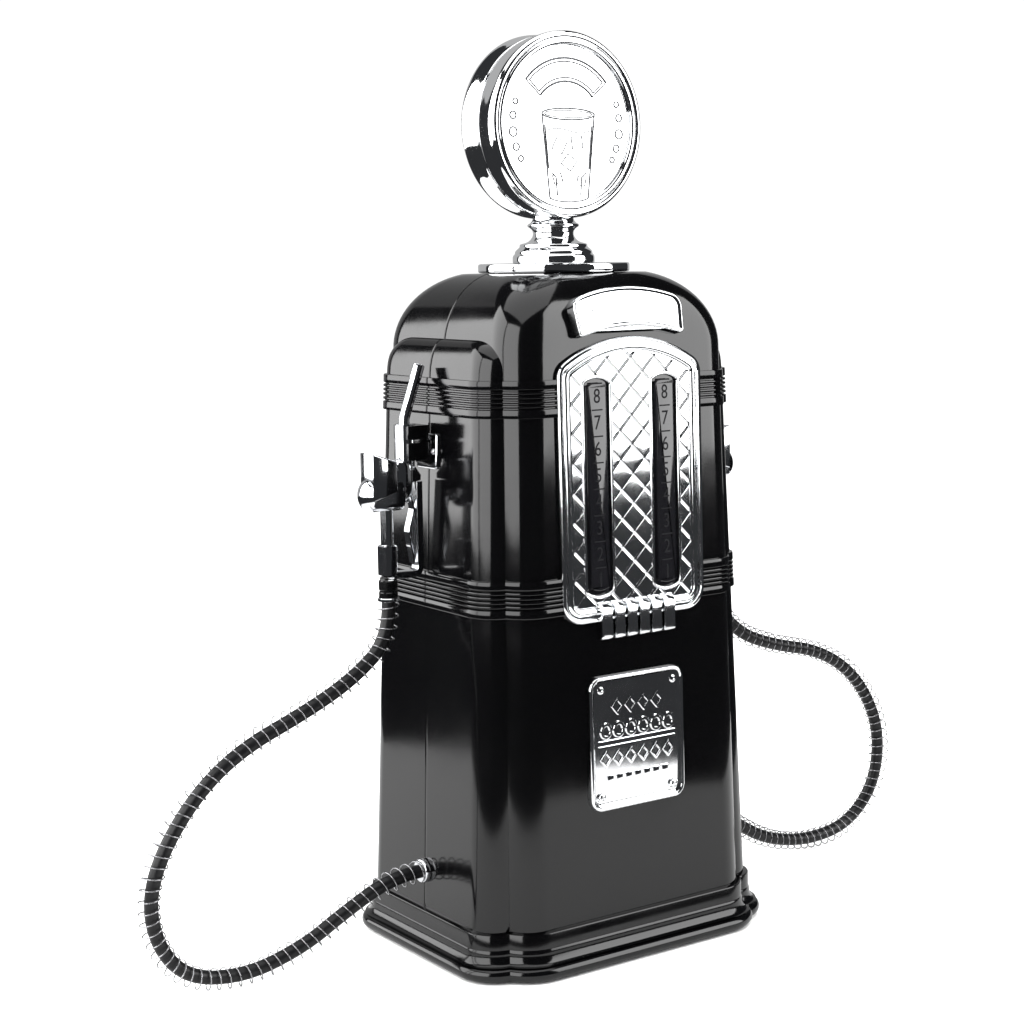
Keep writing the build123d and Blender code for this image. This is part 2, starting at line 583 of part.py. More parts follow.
def make_hose(name, points):
    radii = corner_radii(points)
    path = FilletPolyline(*points, radius=radii)
    start = Plane(origin=points[0], z_dir=Vector(*points[1]) - Vector(*points[0]))
    tube = sweep(start * Circle(HOSE_D / 2), path=path)
    guard = sweep(start * Circle(GUARD_OD / 2), path=path) - sweep(start * Circle(GUARD_ID / 2), path=path)
    save(f"hose_{name}", tube)
    save(f"hose_guard_{name}", guard)
    expected = math.pi * HOSE_D ** 2 / 4 * path.length
    print(name, "radii", [round(r) for r in radii], "length", round(path.length, 1),
          "volume ratio", round(tube.volume / expected, 4))


make_case()
make_base()
for tag, hand in SIDES:
    make_tank(tag, hand)
    make_inlet(tag, hand)
make_lid()
make_globe()
make_panel()
make_badge()
make_label()
holder_screws = []
for tag, hand in SIDES:
    make_nozzle(tag, hand)
    holder_screws += make_holder(tag, hand)
save("holder_screws", Compound(children=holder_screws))
make_hose("left", LEFT_ROUTE)
make_hose("right", RIGHT_ROUTE)
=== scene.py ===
import math
import random

import bmesh
import bpy
from mathutils import Matrix, Vector


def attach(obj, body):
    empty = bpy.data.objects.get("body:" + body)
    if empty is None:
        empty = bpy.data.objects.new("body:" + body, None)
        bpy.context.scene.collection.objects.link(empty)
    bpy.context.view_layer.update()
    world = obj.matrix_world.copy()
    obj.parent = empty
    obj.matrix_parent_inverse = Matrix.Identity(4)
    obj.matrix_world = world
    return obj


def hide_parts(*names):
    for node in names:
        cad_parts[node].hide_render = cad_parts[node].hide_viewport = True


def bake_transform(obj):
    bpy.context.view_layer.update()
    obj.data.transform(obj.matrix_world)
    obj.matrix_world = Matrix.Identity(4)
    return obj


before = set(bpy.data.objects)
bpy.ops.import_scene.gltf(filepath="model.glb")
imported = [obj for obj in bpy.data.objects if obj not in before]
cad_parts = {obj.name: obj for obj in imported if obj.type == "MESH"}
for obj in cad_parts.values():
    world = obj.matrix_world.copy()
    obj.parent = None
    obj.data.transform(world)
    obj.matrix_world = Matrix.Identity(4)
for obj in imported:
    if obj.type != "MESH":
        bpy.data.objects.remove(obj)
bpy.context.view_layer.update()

MM = 0.001
CASE = "pump_case"
SIDES = (("left", -1), ("right", 1))

# Camera: place in metres, roll in degrees and lens in millimetres.
EYE = (-0.616756, -0.850583, 0.366746)
FORWARD = (0.56330388, 0.81570961, -0.13155443)
ROLL = -0.8795
LENS = 68.94

# Case outline, in millimetres: half sizes at the table, and how far each leans in per millimetre of height.
BODY_W, BODY_D, BODY_R, BODY_LEAN = 77.5, 70.1, 18.0, 0.0225
CHEEK_W, CHEEK_D, CHEEK_R, CHEEK_LEAN = 90.2, 59.3, 14.0, 0.0357
DOME_Z, DOME_RISE, DOME_PULL_W, DOME_PULL_D = 316.0, 40.5, 36.0, 30.0
DOME_END, DOME_CORNER_GROWTH = 76, 8
FRONT_REACH = 43.0
ARCH_Z, ARCH_RISE, ARCH_X = 302.0, 21.0, 70.39
CASE_Z = 16.0
SEAM = 0.15
WALL_START = -SEAM - 0.4
BANDS = ((184.9, 203.7), (284.9, 303.6))
GLOBE_Z = 431.9
HANDLE_X = 107.0
NECK_X = 95.3
HOLDER_Z = 266.0
INLET_Z = 44.4
FILL_SLOT_HALF, FILL_SLOT_R = 38, 17

# Hose routes, the same points as in the CAD part, in metres.
ROUTES = {
    "left": [
        (-0.107, 0.0, 0.191), (-0.107, 0.0, 0.171), (-0.128, 0.0008, 0.153),
        (-0.154, 0.002, 0.1398), (-0.195, 0.0036, 0.1238), (-0.222, 0.0056, 0.0998),
        (-0.241, 0.008, 0.066), (-0.2394, 0.01, 0.036), (-0.2224, 0.0114, 0.012),
        (-0.19, 0.0106, 0.0062), (-0.158, 0.0074, 0.0156), (-0.136, 0.0036, 0.03),
        (-0.109, 0.0, 0.0444), (-0.0918, 0.0, 0.0444),
    ],
    "right": [
        (0.107, 0.0, 0.191), (0.107, 0.0, 0.17), (0.128, 0.0004, 0.1454),
        (0.1566, 0.0012, 0.1339), (0.1977, 0.0024, 0.1249), (0.23, 0.004, 0.1037),
        (0.2506, 0.0056, 0.07), (0.2498, 0.0074, 0.034), (0.228, 0.0082, 0.0108),
        (0.194, 0.0078, 0.0062), (0.1576, 0.0056, 0.0136), (0.129, 0.0026, 0.03),
        (0.109, 0.0, 0.0444), (0.0918, 0.0, 0.0444),
    ],
}
HOSE_D = 0.0072
COIL_R = 0.0055
COIL_SWAY = 0.0012
COIL_WIRE = 0.00036
COIL_PITCH = 0.0055


# ---------------------------------------------------------------- materials
def node_material(name, color, rough, metal=0.0, ior=1.5, transmission=0.0):
    """Principled material with object coordinates ready for procedural detail."""
    mat = bpy.data.materials.new(name)
    mat.use_nodes = True
    tree = mat.node_tree
    shader = tree.nodes["Principled BSDF"]
    shader.inputs["Base Color"].default_value = (*color, 1)
    shader.inputs["Roughness"].default_value = rough
    shader.inputs["Metallic"].default_value = metal
    shader.inputs["IOR"].default_value = ior
    shader.inputs["Transmission Weight"].default_value = transmission
    coords = tree.nodes.new("ShaderNodeTexCoord")
    return mat, tree, shader, coords.outputs["Object"]


def noise(tree, coords, scale, detail=3.0, rough=0.5):
    node = tree.nodes.new("ShaderNodeTexNoise")
    node.inputs["Scale"].default_value = scale
    node.inputs["Detail"].default_value = detail
    node.inputs["Roughness"].default_value = rough
    tree.links.new(coords, node.inputs["Vector"])
    return node.outputs["Fac"]


def ranged(tree, value, low, high, start=0.3, end=0.7):
    node = tree.nodes.new("ShaderNodeMapRange")
    node.inputs["From Min"].default_value = start
    node.inputs["From Max"].default_value = end
    node.inputs["To Min"].default_value = low
    node.inputs["To Max"].default_value = high
    tree.links.new(value, node.inputs["Value"])
    return node.outputs["Result"]


def tinted(tree, value, dark, light):
    node = tree.nodes.new("ShaderNodeMix")
    node.data_type = "RGBA"
    node.inputs[6].default_value = (*dark, 1)
    node.inputs[7].default_value = (*light, 1)
    tree.links.new(value, node.inputs[0])
    return node.outputs[2]


def bumps(tree, shader, layers):
    """Bump layers, each (height value, distance in metres, strength)."""
    normal = None
    for height, distance, strength in layers:
        node = tree.nodes.new("ShaderNodeBump")
        node.inputs["Distance"].default_value = distance
        node.inputs["Strength"].default_value = strength
        tree.links.new(height, node.inputs["Height"])
        if normal is not None:
            tree.links.new(normal, node.inputs["Normal"])
        normal = node.outputs["Normal"]
    tree.links.new(normal, shader.inputs["Normal"])


def gloss_black(name, rough_low, rough_high, peel):
    """Moulded black plastic: faint flow marks, orange peel and handling haze."""
    mat, tree, shader, at = node_material(name, (0.001, 0.001, 0.001), rough_low, ior=1.43)
    haze = noise(tree, at, 22, 5, 0.6)
    tree.links.new(ranged(tree, haze, rough_low, rough_high, 0.35, 0.75), shader.inputs["Roughness"])
    tree.links.new(
        tinted(tree, noise(tree, at, 9, 3), (0.0006, 0.0006, 0.0007), (0.0014, 0.0014, 0.0016)),
        shader.inputs["Base Color"])
    bumps(tree, shader, [(noise(tree, at, 45, 2), 0.0002, peel), (noise(tree, at, 900, 2), 0.00002, 0.12)])
    return mat


def chrome(name, color, rough_low, rough_high, wave):
    """Chrome plating: wavy at hand scale, with a slight haze and fine wiping marks."""
    mat, tree, shader, at = node_material(name, color, rough_low, metal=1.0)
    haze = noise(tree, at, 60, 6, 0.65)
    tree.links.new(ranged(tree, haze, rough_low, rough_high, 0.3, 0.75), shader.inputs["Roughness"])
    dark = tuple(c * 0.93 for c in color)
    tree.links.new(tinted(tree, noise(tree, at, 30, 4), dark, color), shader.inputs["Base Color"])
    bumps(tree, shader, [(noise(tree, at, 70, 2), 0.0002, wave), (noise(tree, at, 1500, 2), 0.00001, 0.1)])
    return mat


def brushed(name, color, rough):
    """Bare metal with fine drawing lines along its height."""
    mat, tree, shader, at = node_material(name, color, rough, metal=1.0)
    stretch = tree.nodes.new("ShaderNodeMapping")
    stretch.inputs["Scale"].default_value = (1, 1, 0.06)
    tree.links.new(at, stretch.inputs["Vector"])
    lines = noise(tree, stretch.outputs["Vector"], 2400, 2)
    tree.links.new(ranged(tree, lines, rough * 0.8, rough * 1.4), shader.inputs["Roughness"])
    tree.links.new(tinted(tree, noise(tree, at, 200, 3), tuple(c * 0.85 for c in color), color),
                   shader.inputs["Base Color"])
    bumps(tree, shader, [(lines, 0.00002, 0.4)])
    return mat


def rubbery(name, dark, light, rough, grain, strength=0.5, specular=0.5):
    """Matt moulded material with a fine grain and a mottled colour."""
    mat, tree, shader, at = node_material(name, dark, rough)
    shader.inputs["Specular IOR Level"].default_value = specular
    fine = noise(tree, at, grain, 4, 0.6)
    tree.links.new(tinted(tree, noise(tree, at, grain / 12, 4), dark, light), shader.inputs["Base Color"])
    tree.links.new(ranged(tree, fine, rough * 0.85, min(1.0, rough * 1.2)), shader.inputs["Roughness"])
    bumps(tree, shader, [(fine, 0.00006, strength)])
    return mat


def milky_plastic(name):
    """Blown tank plastic: cloudy, with soft variations in wall thickness."""
    mat, tree, shader, at = node_material(name, (0.8, 0.83, 0.85), 0.25, transmission=0.6)
    tree.links.new(
        tinted(tree, noise(tree, at, 14, 4), (0.70, 0.74, 0.77), (0.86, 0.88, 0.90)),
        shader.inputs["Base Color"])
    tree.links.new(ranged(tree, noise(tree, at, 40, 3), 0.18, 0.34), shader.inputs["Roughness"])
    bumps(tree, shader, [(noise(tree, at, 60, 3), 0.0004, 0.3)])
    return mat


def smoked_window(name):
    """Dark glossy plastic over the level windows."""
    mat, tree, shader, at = node_material(name, (0.004, 0.004, 0.005), 0.05)
    tree.links.new(ranged(tree, noise(tree, at, 80, 4), 0.03, 0.09), shader.inputs["Roughness"])
    tree.links.new(tinted(tree, noise(tree, at, 30, 3), (0.003, 0.003, 0.004), (0.007, 0.007, 0.008)),
                   shader.inputs["Base Color"])
    bumps(tree, shader, [(noise(tree, at, 50, 2), 0.0002, 0.1)])
    return mat


BLACK = gloss_black("gloss_black_case", 0.07, 0.15, 0.10)
BLACK_BASE = gloss_black("gloss_black_base", 0.09, 0.17, 0.12)
BLACK_CLIP = gloss_black("gloss_black_clip", 0.14, 0.26, 0.3)
CHROME = chrome("bright_chrome", (0.86, 0.87, 0.88), 0.035, 0.075, 0.10)
CHROME_TRIM = chrome("chrome_trim", (0.84, 0.85, 0.86), 0.05, 0.10, 0.14)
CHROME_NOZZLE = chrome("chrome_nozzle", (0.70, 0.71, 0.73), 0.06, 0.12, 0.12)
STEEL = brushed("bright_steel", (0.62, 0.62, 0.64), 0.25)
WIRE = brushed("spring_wire", (0.30, 0.30, 0.31), 0.22)
RUBBER = rubbery("foot_rubber", (0.012, 0.012, 0.012), (0.03, 0.03, 0.03), 0.7, 900)
HOSE_RUBBER = rubbery("hose_rubber", (0.0025, 0.0025, 0.003), (0.006, 0.006, 0.0065), 0.34, 1400, 0.25,
                      0.25)
UNDERSIDE = rubbery("underside_plastic", (0.02, 0.02, 0.021), (0.035, 0.035, 0.036), 0.6, 700)
SILICONE = rubbery("silicone_seal", (0.55, 0.56, 0.56), (0.7, 0.71, 0.71), 0.4, 500, 0.2)
TANK = milky_plastic("tank_plastic")
WINDOW = smoked_window("smoked_window")
SCALE_INK = rubbery("scale_marks", (0.003, 0.003, 0.004), (0.006, 0.006, 0.007), 0.55, 900, 0.2, 0.12)
# Painted shade: the raised lines on the globe face get a dark metal colour so they read darker than the
# chrome face round them; only the higher roughness is a frosted finish.
RELIEF_PAINTED_SHADE = chrome("frosted_relief_painted_shade", (0.085, 0.087, 0.09), 0.25, 0.36, 0.1)


# ---------------------------------------------------------------- mesh helpers
class Shape:
    """Vertices in millimetres and faces, gathered piece by piece into one object."""

    def __init__(self):
        self.verts, self.faces = [], []

    def grid(self, rows, wrap=False, skip=None):
        start, width = len(self.verts), len(rows[0])
        for row in rows:
            self.verts += [tuple(p) for p in row]
        columns = width if wrap else width - 1
        for i in range(len(rows) - 1):
            for j in range(columns):
                if skip and skip(i, j):
                    continue
                k = (j + 1) % width
                self.faces.append((start + i * width + j, start + i * width + k,
                                   start + (i + 1) * width + k, start + (i + 1) * width + j))
        return self

    def cap(self, ring):
        start = len(self.verts)
        self.verts += [tuple(p) for p in ring]
        self.faces.append(tuple(range(start, start + len(ring))))
        return self

    def bar(self, rows):
        """Closed bar through rows of points, with flat ends."""
        return self.grid(rows, wrap=True).cap(rows[0]).cap(list(reversed(rows[-1])))

    def mirrored(self):
        other = Shape()
        other.verts = [(-x, y, z) for x, y, z in self.verts]
        other.faces = [tuple(reversed(f)) for f in self.faces]
        return other

    def moved(self, fn):
        self.verts = [fn(*p) for p in self.verts]
        return self

    def add(self, other):
        start = len(self.verts)
        self.verts += other.verts
        self.faces += [tuple(start + i for i in f) for f in other.faces]
        return self

    def bevelled(self, width, segments=2, angle=30):
        """Round every edge sharper than angle."""
        bm = self.to_bmesh(1.0)
        sharp = [e for e in bm.edges if len(e.link_faces) == 2 and e.calc_face_angle(0) > math.radians(angle)]
        bmesh.ops.bevel(bm, geom=sharp, offset=width, segments=segments, profile=0.5, affect="EDGES",
                        clamp_overlap=True)
        bm.verts.index_update()
        self.verts = [tuple(v.co) for v in bm.verts]
        self.faces = [tuple(v.index for v in f.verts) for f in bm.faces]
        bm.free()
        return self

    def to_bmesh(self, scale):
        bm = bmesh.new()
        made = [bm.verts.new((x * scale, y * scale, z * scale)) for x, y, z in self.verts]
        for face in self.faces:
            corners = [made[i] for i in dict.fromkeys(face)]
            if len(corners) > 2:
                try:
                    bm.faces.new(corners)
                except ValueError:
                    pass
        bmesh.ops.remove_doubles(bm, verts=bm.verts, dist=0.002 * scale)
        bmesh.ops.dissolve_degenerate(bm, edges=bm.edges, dist=0.0005 * scale)
        loose = [v for v in bm.verts if not v.link_faces]
        bmesh.ops.delete(bm, geom=loose, context="VERTS")
        bmesh.ops.recalc_face_normals(bm, faces=bm.faces)
        return bm

    def build(self, name, mat, body, hides=(), slot=None, sharp=32, centre=None):
        bm = self.to_bmesh(MM)
        if centre is not None:
            out = Vector(centre) * MM
            facing = sum((f.calc_center_median() - out).dot(f.normal) * f.calc_area() for f in bm.faces)
            if facing < 0:
                bmesh.ops.reverse_faces(bm, faces=bm.faces)
        for edge in bm.edges:
            edge.smooth = len(edge.link_faces) != 2 or edge.calc_face_angle(0) < math.radians(sharp)
        for face in bm.faces:
            face.smooth = True
        mesh = bpy.data.meshes.new(name)
        bm.to_mesh(mesh)
        bm.free()
        return place(name, mesh, mat, body, hides)


def place(name, mesh, mat, body, hides=()):
    obj = bpy.data.objects.new(name, mesh)
    bpy.context.scene.collection.objects.link(obj)
    obj.data.materials.clear()
    obj.data.materials.append(mat)
    if body:
        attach(obj, body)
    if hides:
        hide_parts(*hides)
    return obj


def circle(radius, count):
    """Evenly spaced points of a circle round the origin."""
    angles = [2 * math.pi * k / count for k in range(count)]
    return [(radius * math.cos(a), radius * math.sin(a)) for a in angles]


def lathe(profile, segments=96, centre=(0, 0, 0), axis="Z"):
    """Turned shape from (radius, height) points; height runs along the axis."""
    rows = []
    for radius, height in profile:
        row = []
        for u, v in circle(radius, segments):
            point = {"Z": (u, v, height), "Y": (u, height, v), "X": (height, u, v)}[axis]
            row.append(tuple(c + o for c, o in zip(point, centre)))
        rows.append(row)
    return Shape().grid(rows, wrap=True)


def oval_arc(cx, cy, rx, ry, start, end, count):
    """Points of an oval's arc between two angles in degrees, both ends included."""
    angles = [math.radians(start + (end - start) * k / count) for k in range(count + 1)]
    return [(cx + rx * math.cos(a), cy + ry * math.sin(a)) for a in angles]


def arc_points(cx, cy, r, start, end, count):
    return oval_arc(cx, cy, r, r, start, end, count)


def facing_arc(cx, cy, r, start, end, count):
    """Points of an arc, each with its outward normal."""
    return list(zip(arc_points(cx, cy, r, start, end, count), arc_points(0, 0, 1, start, end, count)))


def rounded_ring(half_w, half_d, r, steps):
    """Closed outline of a rounded rectangle round the origin."""
    ring = []
    for cx, cy, start in ((1, 1, 0), (-1, 1, 90), (-1, -1, 180), (1, -1, 270)):
        ring += arc_points(cx * (half_w - r), cy * (half_d - r), r, start, start + 90, steps)
    return ring


def body_size(z, grow=0.0):
    lean = BODY_LEAN * z
    return BODY_W - lean + grow, BODY_D - lean + grow, BODY_R + grow


def cheek_size(z, grow=0.0):
    return CHEEK_W - CHEEK_LEAN * z + grow, CHEEK_D - BODY_LEAN * z + grow, CHEEK_R + grow


def dome_size(step):
    """Half sizes, corner and height at one step, in degrees, up the dome."""
    half_w, half_d, corner = body_size(DOME_Z)
    pull = 1 - math.cos(math.radians(step))
    z = DOME_Z + DOME_RISE * math.sin(math.radians(step))
    return (half_w - DOME_PULL_W * pull, half_d - DOME_PULL_D * pull, corner + DOME_CORNER_GROWTH * pull), z


# Rounded lip of each shell at the seam, as (inset from the wall, y).
SEAM_LIP = ((2.2, -SEAM), (0.5, -SEAM), (0.12, -SEAM - 0.05), (0.0, WALL_START))


def half_outline(size, tilt):
    """Front half (y < 0) of a rounded rectangle, seam to seam, as (x, y, rise); tilt is the side's normal."""
    hw, hd, r = size
    left = [(-hw + inset * tilt[0], y, -inset * tilt[1]) for inset, y in SEAM_LIP]
    run = hd - r + WALL_START
    left += [(-hw, WALL_START - run * share, 0.0) for share in (0.015, 0.25, 0.5, 0.75, 0.97)]
    left += [(x, y, 0.0) for x, y in arc_points(-(hw - r), -(hd - r), r, 180, 270, 20)]
    reach = min(FRONT_REACH, hw - r - 2.0)
    left += [(-reach * share, -hd, 0.0) for share in (1.0, 0.65, 0.28)]
    return left + [(-x, y, rise) for x, y, rise in reversed(left)]


def wall_row(size, z, sign, tilt=(1.0, 0.0)):
    return [(x, -sign * y, z + rise) for x, y, rise in half_outline(size, tilt)]


# ---------------------------------------------------------------- case
def slot_edge(x, y, half_len, radius):
    """Point of a rounded slot in the direction of (x, y) from the centre."""
    straight = half_len - radius
    a = math.atan2(y, x)
    dx, dy = math.cos(a), math.sin(a)
    if abs(dy) > 1e-6 and abs(radius * dx / dy) <= straight:
        t = radius / abs(dy)
        return dx * t, dy * t
    cx = math.copysign(straight, dx)
    b = dx * cx
    t = b + math.sqrt(max(0.0, b * b - cx * cx + radius * radius))
    return dx * t, dy * t


def case_half(sign):
    """Skin of one half of the case: sign -1 is the front, 1 the rear."""
    shape = Shape()
    heights = [CASE_Z, 24, 60, 110, 150, 187, 225, 265, 304, DOME_Z]
    rows = [wall_row(body_size(z), z, sign) for z in heights]
    middle = len(rows[0]) // 2

    def behind_panel(i, j):
        return sign < 0 and 5 <= i < 8 and middle - 3 <= j < middle + 2

    shape.grid(rows, skip=behind_panel)
    rows = [rows[-1]]
    for step in range(4, DOME_END + 1, 4):
        size, z = dome_size(step)
        lean = Vector((DOME_RISE * math.cos(math.radians(step)), DOME_PULL_W * math.sin(math.radians(step))))
        rows.append(wall_row(size, z, sign, lean.normalized()))
    top = rows[-1]
    for z_slot, share in ((z + 0.1, 0.5), (z + 0.12, 1.0), (z - 2.6, 1.0)):
        row = []
        for x, y, _ in top:
            sx, sy = slot_edge(x, y, FILL_SLOT_HALF, FILL_SLOT_R)
            row.append((x + (sx - x) * share, y + (sy - y) * share, z_slot))
        rows.append(row)
    shape.grid(rows)
    for side in (-1, 1):
        part = cheek_half(sign)
        shape.add(part.mirrored() if side < 0 else part)
    for z0, z1 in BANDS:
        shape.add(band_half(z0, z1, sign))
    return shape


def cheek_half(sign):
    """Half of the right cheek: leaning walls that round over to a roof, like a loaf."""
    levels = [(z, *cheek_size(z), (1.0, 0.0)) for z in (CASE_Z, 60, 110, 150, 187, 225, 265, 285, ARCH_Z)]
    run = cheek_size(ARCH_Z)[0] - ARCH_X
    for k in range(1, 19):
        a = math.radians(5 * k)
        z = ARCH_Z + ARCH_RISE * math.sin(a)
        over = max(0.0, (z - ARCH_Z - ARCH_RISE + CHEEK_R) / CHEEK_R)
        pull = CHEEK_R * (1 - math.sqrt(max(0.0, 1 - over * over)))
        tilt = Vector((ARCH_RISE * math.cos(a), run * math.sin(a))).normalized()
        levels.append((z, ARCH_X + run * math.cos(a), cheek_size(z)[1] - pull, CHEEK_R, tilt))
    rows = []
    for z, hw, hd, r, tilt in levels:
        seam = [(hw - inset * tilt[0], y, z - inset * tilt[1]) for inset, y in SEAM_LIP]
        wall = [(hw, WALL_START - (hd - r + WALL_START) * share, z) for share in (0.02, 0.3, 0.6, 0.97)]
        corner = [(x, -y, z) for x, y in arc_points(hw - r, hd - r, r, 0, 90, 18)]
        rows.append([(x, -sign * y, h) for x, y, h in seam + wall + corner + [(hw - r - 5, -hd, z)]])
    return Shape().grid(rows)


def band_profile(z0, z1, count=5, pitch=2.25, width=1.05, proud=1.8, low=0.75):
    points = [(-0.8, z0), (proud - 0.5, z0), (proud - 0.15, z0 + 0.12), (proud, z0 + 0.5)]
    rim = (z1 - z0 - (count - 1) * pitch - width) / 2
    for k in range(count):
        a = z0 + rim + k * pitch
        b = a + width
        points += [(proud, a - 0.3), (proud - 0.12, a - 0.08), (low + 0.2, a + 0.12), (low, a + 0.3),
                   (low, b - 0.3), (low + 0.2, b - 0.12), (proud - 0.12, b + 0.08), (proud, b + 0.3)]
    points += [(proud, z1 - 0.5), (proud - 0.15, z1 - 0.12), (proud - 0.5, z1), (-0.8, z1)]
    return points


def band_half(z0, z1, sign):
    shape = Shape()
    profile = band_profile(z0, z1)
    rows = [wall_row(body_size(z, grow), z, sign) for grow, z in profile]
    middle = len(rows[0]) // 2
    if sign < 0:
        shape.grid([row[:middle - 2] for row in rows])
        shape.grid([row[middle + 2:] for row in rows])
    else:
        shape.grid(rows)
    for side in (-1, 1):
        ring = []
        for grow, z in profile:
            hw, hd, r = cheek_size(z, grow)
            seam = [(hw - inset, y) for inset, y in SEAM_LIP]
            run = [(hw, WALL_START - (hd - r + WALL_START) * share) for share in (0.02, 0.5, 0.97)]
            corner = [(x, -y) for x, y in arc_points(hw - r, hd - r, r, 0, 90, 16)]
            ring.append([(side * x, -sign * y, z) for x, y in seam + run + corner + [(60.0, -hd)]])
        shape.grid(ring)
    return shape


def base_skirt():
    """Skirt, cove and rounded lip, swept round the body plan and the cheek plan."""
    profile = [(-4.0, 24.0), (2.0, 24.0), (2.45, 23.85), (2.7, 23.4), (2.7, 16.2), (2.85, 15.6), (3.2, 15.0)]
    profile += oval_arc(7.0, 15.0, -3.8, -6.6, 0, 90, 8)[1:]
    profile += oval_arc(5.5, 4.2, 3.4, 3.6, 90, -90, 12)
    profile += [(2.0, 0.6), (0.4, 0.6), (0.4, 4.2)]
    shape = Shape()
    for size in (body_size, cheek_size):
        rows = []
        for grow, z in profile:
            rows.append([(x, y, z) for x, y in rounded_ring(*size(24.0, grow), 18)])
        shape.grid(rows, wrap=True)
    return shape


# ---------------------------------------------------------------- front plane
FRONT_TILT = math.atan(BODY_LEAN)


def on_front(u, v, h):
    """Point u across, v up and h out of the leaning front face."""
    s, c = math.sin(FRONT_TILT), math.cos(FRONT_TILT)
    return (u, -BODY_D + s * v - c * h, c * v + s * h)


def on_back(u, v, h):
    return (u, BODY_D - BODY_LEAN * v + h, v)


def rounded_path(half_w, low, high, r_low, sag, r_high, n=10):
    """Closed outline with straight sides and an arched top; each point comes with its outward normal."""
    radius = (half_w ** 2 + sag ** 2) / (2 * sag)
    cz = high - radius
    fillet_x = half_w - r_high
    fillet_z = cz + math.sqrt((radius - r_high) ** 2 - fillet_x ** 2)
    lean = math.degrees(math.atan2(fillet_z - cz, fillet_x))
    right = [((0.0, low), (0.0, -1.0)), ((half_w * 0.4, low), (0.0, -1.0))]
    right += facing_arc(half_w - r_low, low + r_low, r_low, -90, 0, n)
    for k in range(1, 6):
        right.append(((half_w, low + r_low + (fillet_z - low - r_low) * k / 6), (1.0, 0.0)))
    right += facing_arc(fillet_x, fillet_z, r_high, 0, lean, n)
    right += facing_arc(0, cz, radius, lean, 90, 14)[1:-1]
    top = [((0.0, high), (0.0, 1.0))]
    left = [((-p[0], p[1]), (-q[0], q[1])) for p, q in reversed(right[1:])]
    return right + top + left


def path_row(path, offset, height, plane, centre=(0.0, 0.0)):
    """The path's points, moved out along their normals, at one height over the plane."""
    return [plane(p[0] + q[0] * offset + centre[0], p[1] + q[1] * offset + centre[1], height)
            for p, q in path]


def ring_on(path, profile, plane, centre=(0.0, 0.0)):
    """Sweep (outward offset, height) points round a path on a plane."""
    return Shape().grid([path_row(path, *point, plane, centre) for point in profile], wrap=True)


PANEL = {"half_w": 46.0, "low": 179.3, "high": 323.7, "r_low": 12.0, "sag": 14.7, "r_high": 10.0}
WINDOW_X, WINDOW_LOW, WINDOW_HIGH, WINDOW_HALF = 21.8, 193.0, 303.0, 8.0
WINDOW_MID = (WINDOW_LOW + WINDOW_HIGH) / 2
WINDOW_SAG = 2.4


def panel_depth(u, v):
    """Distance outside the panel's edge, negative inside."""
    cz = PANEL["high"] - (PANEL["half_w"] ** 2 + PANEL["sag"] ** 2) / (2 * PANEL["sag"])
    radius = PANEL["high"] - cz
    edge = max(abs(u) - PANEL["half_w"], PANEL["low"] - v)
    if v > cz:
        edge = max(edge, math.hypot(u, v - cz) - radius)
    return edge


def window_path():
    half = rounded_path(WINDOW_HALF, 0, WINDOW_HIGH - WINDOW_MID, 1.0, WINDOW_SAG, 1.6, 5)
    upper = [(p, q) for p, q in half if q[1] > -0.01 and p[1] > 1.5]
    lower = [((-p[0], -p[1]), (-q[0], -q[1])) for p, q in upper]
    return upper + lower


def window_gap(u, v):
    """Distance outside the nearer window's edge."""
    du = abs(abs(u) - WINDOW_X) - WINDOW_HALF
    radius = (WINDOW_HALF ** 2 + WINDOW_SAG ** 2) / (2 * WINDOW_SAG)
    half = WINDOW_HIGH - WINDOW_MID
    dv = math.hypot(abs(u) - WINDOW_X, abs(v - WINDOW_MID) - (half - radius)) - radius
    return max(du, dv if abs(v - WINDOW_MID) > half - 6 else -9)


LATTICE_U, LATTICE_V, LATTICE_AT = 15.2, 14.85, (0.3, 238.7)
FIELD_H = 1.45
BAR_H = 2.1


def quilted_field():
    """Nearly flat diamonds between crisp V grooves, left open at the windows and under the rim."""
    shape = Shape()
    cuts = [0, 0.02, 0.04, 0.06] + [0.1 + 0.05 * k for k in range(17)] + [0.94, 0.96, 0.98, 1.0]

    def height(s, t):
        crown = (4 * s * (1 - s) * 4 * t * (1 - t)) ** 0.6
        groove = 0.0
        for w in (s, 1 - s, t, 1 - t):
            groove = max(groove, 1 - w / 0.05)
        return FIELD_H + 0.06 * crown - 0.5 * max(0.0, groove)

    for i in range(-14, 15):
        for j in range(-14, 15):
            cu = LATTICE_AT[0] + (i + j + 1) * LATTICE_U / 2
            cv = LATTICE_AT[1] + (i - j) * LATTICE_V / 2
            if panel_depth(cu, cv) > 6 or abs(cu) > 50 or not 170 < cv < 330:
                continue
            index = {}
            for a, s in enumerate(cuts):
                for b, t in enumerate(cuts):
                    u = LATTICE_AT[0] + (i + s + j + t) * LATTICE_U / 2
                    v = LATTICE_AT[1] + (i + s - j - t) * LATTICE_V / 2
                    index[a, b] = (u, v, height(s, t))
            for a in range(len(cuts) - 1):
                for b in range(len(cuts) - 1):
                    corners = [index[a, b], index[a + 1, b], index[a + 1, b + 1], index[a, b + 1]]
                    if max(panel_depth(c[0], c[1]) for c in corners) > -5.5:
                        continue
                    if min(window_gap(c[0], c[1]) for c in corners) < 0.7:
                        continue
                    shape.cap([on_front(*c) for c in corners])
    return shape


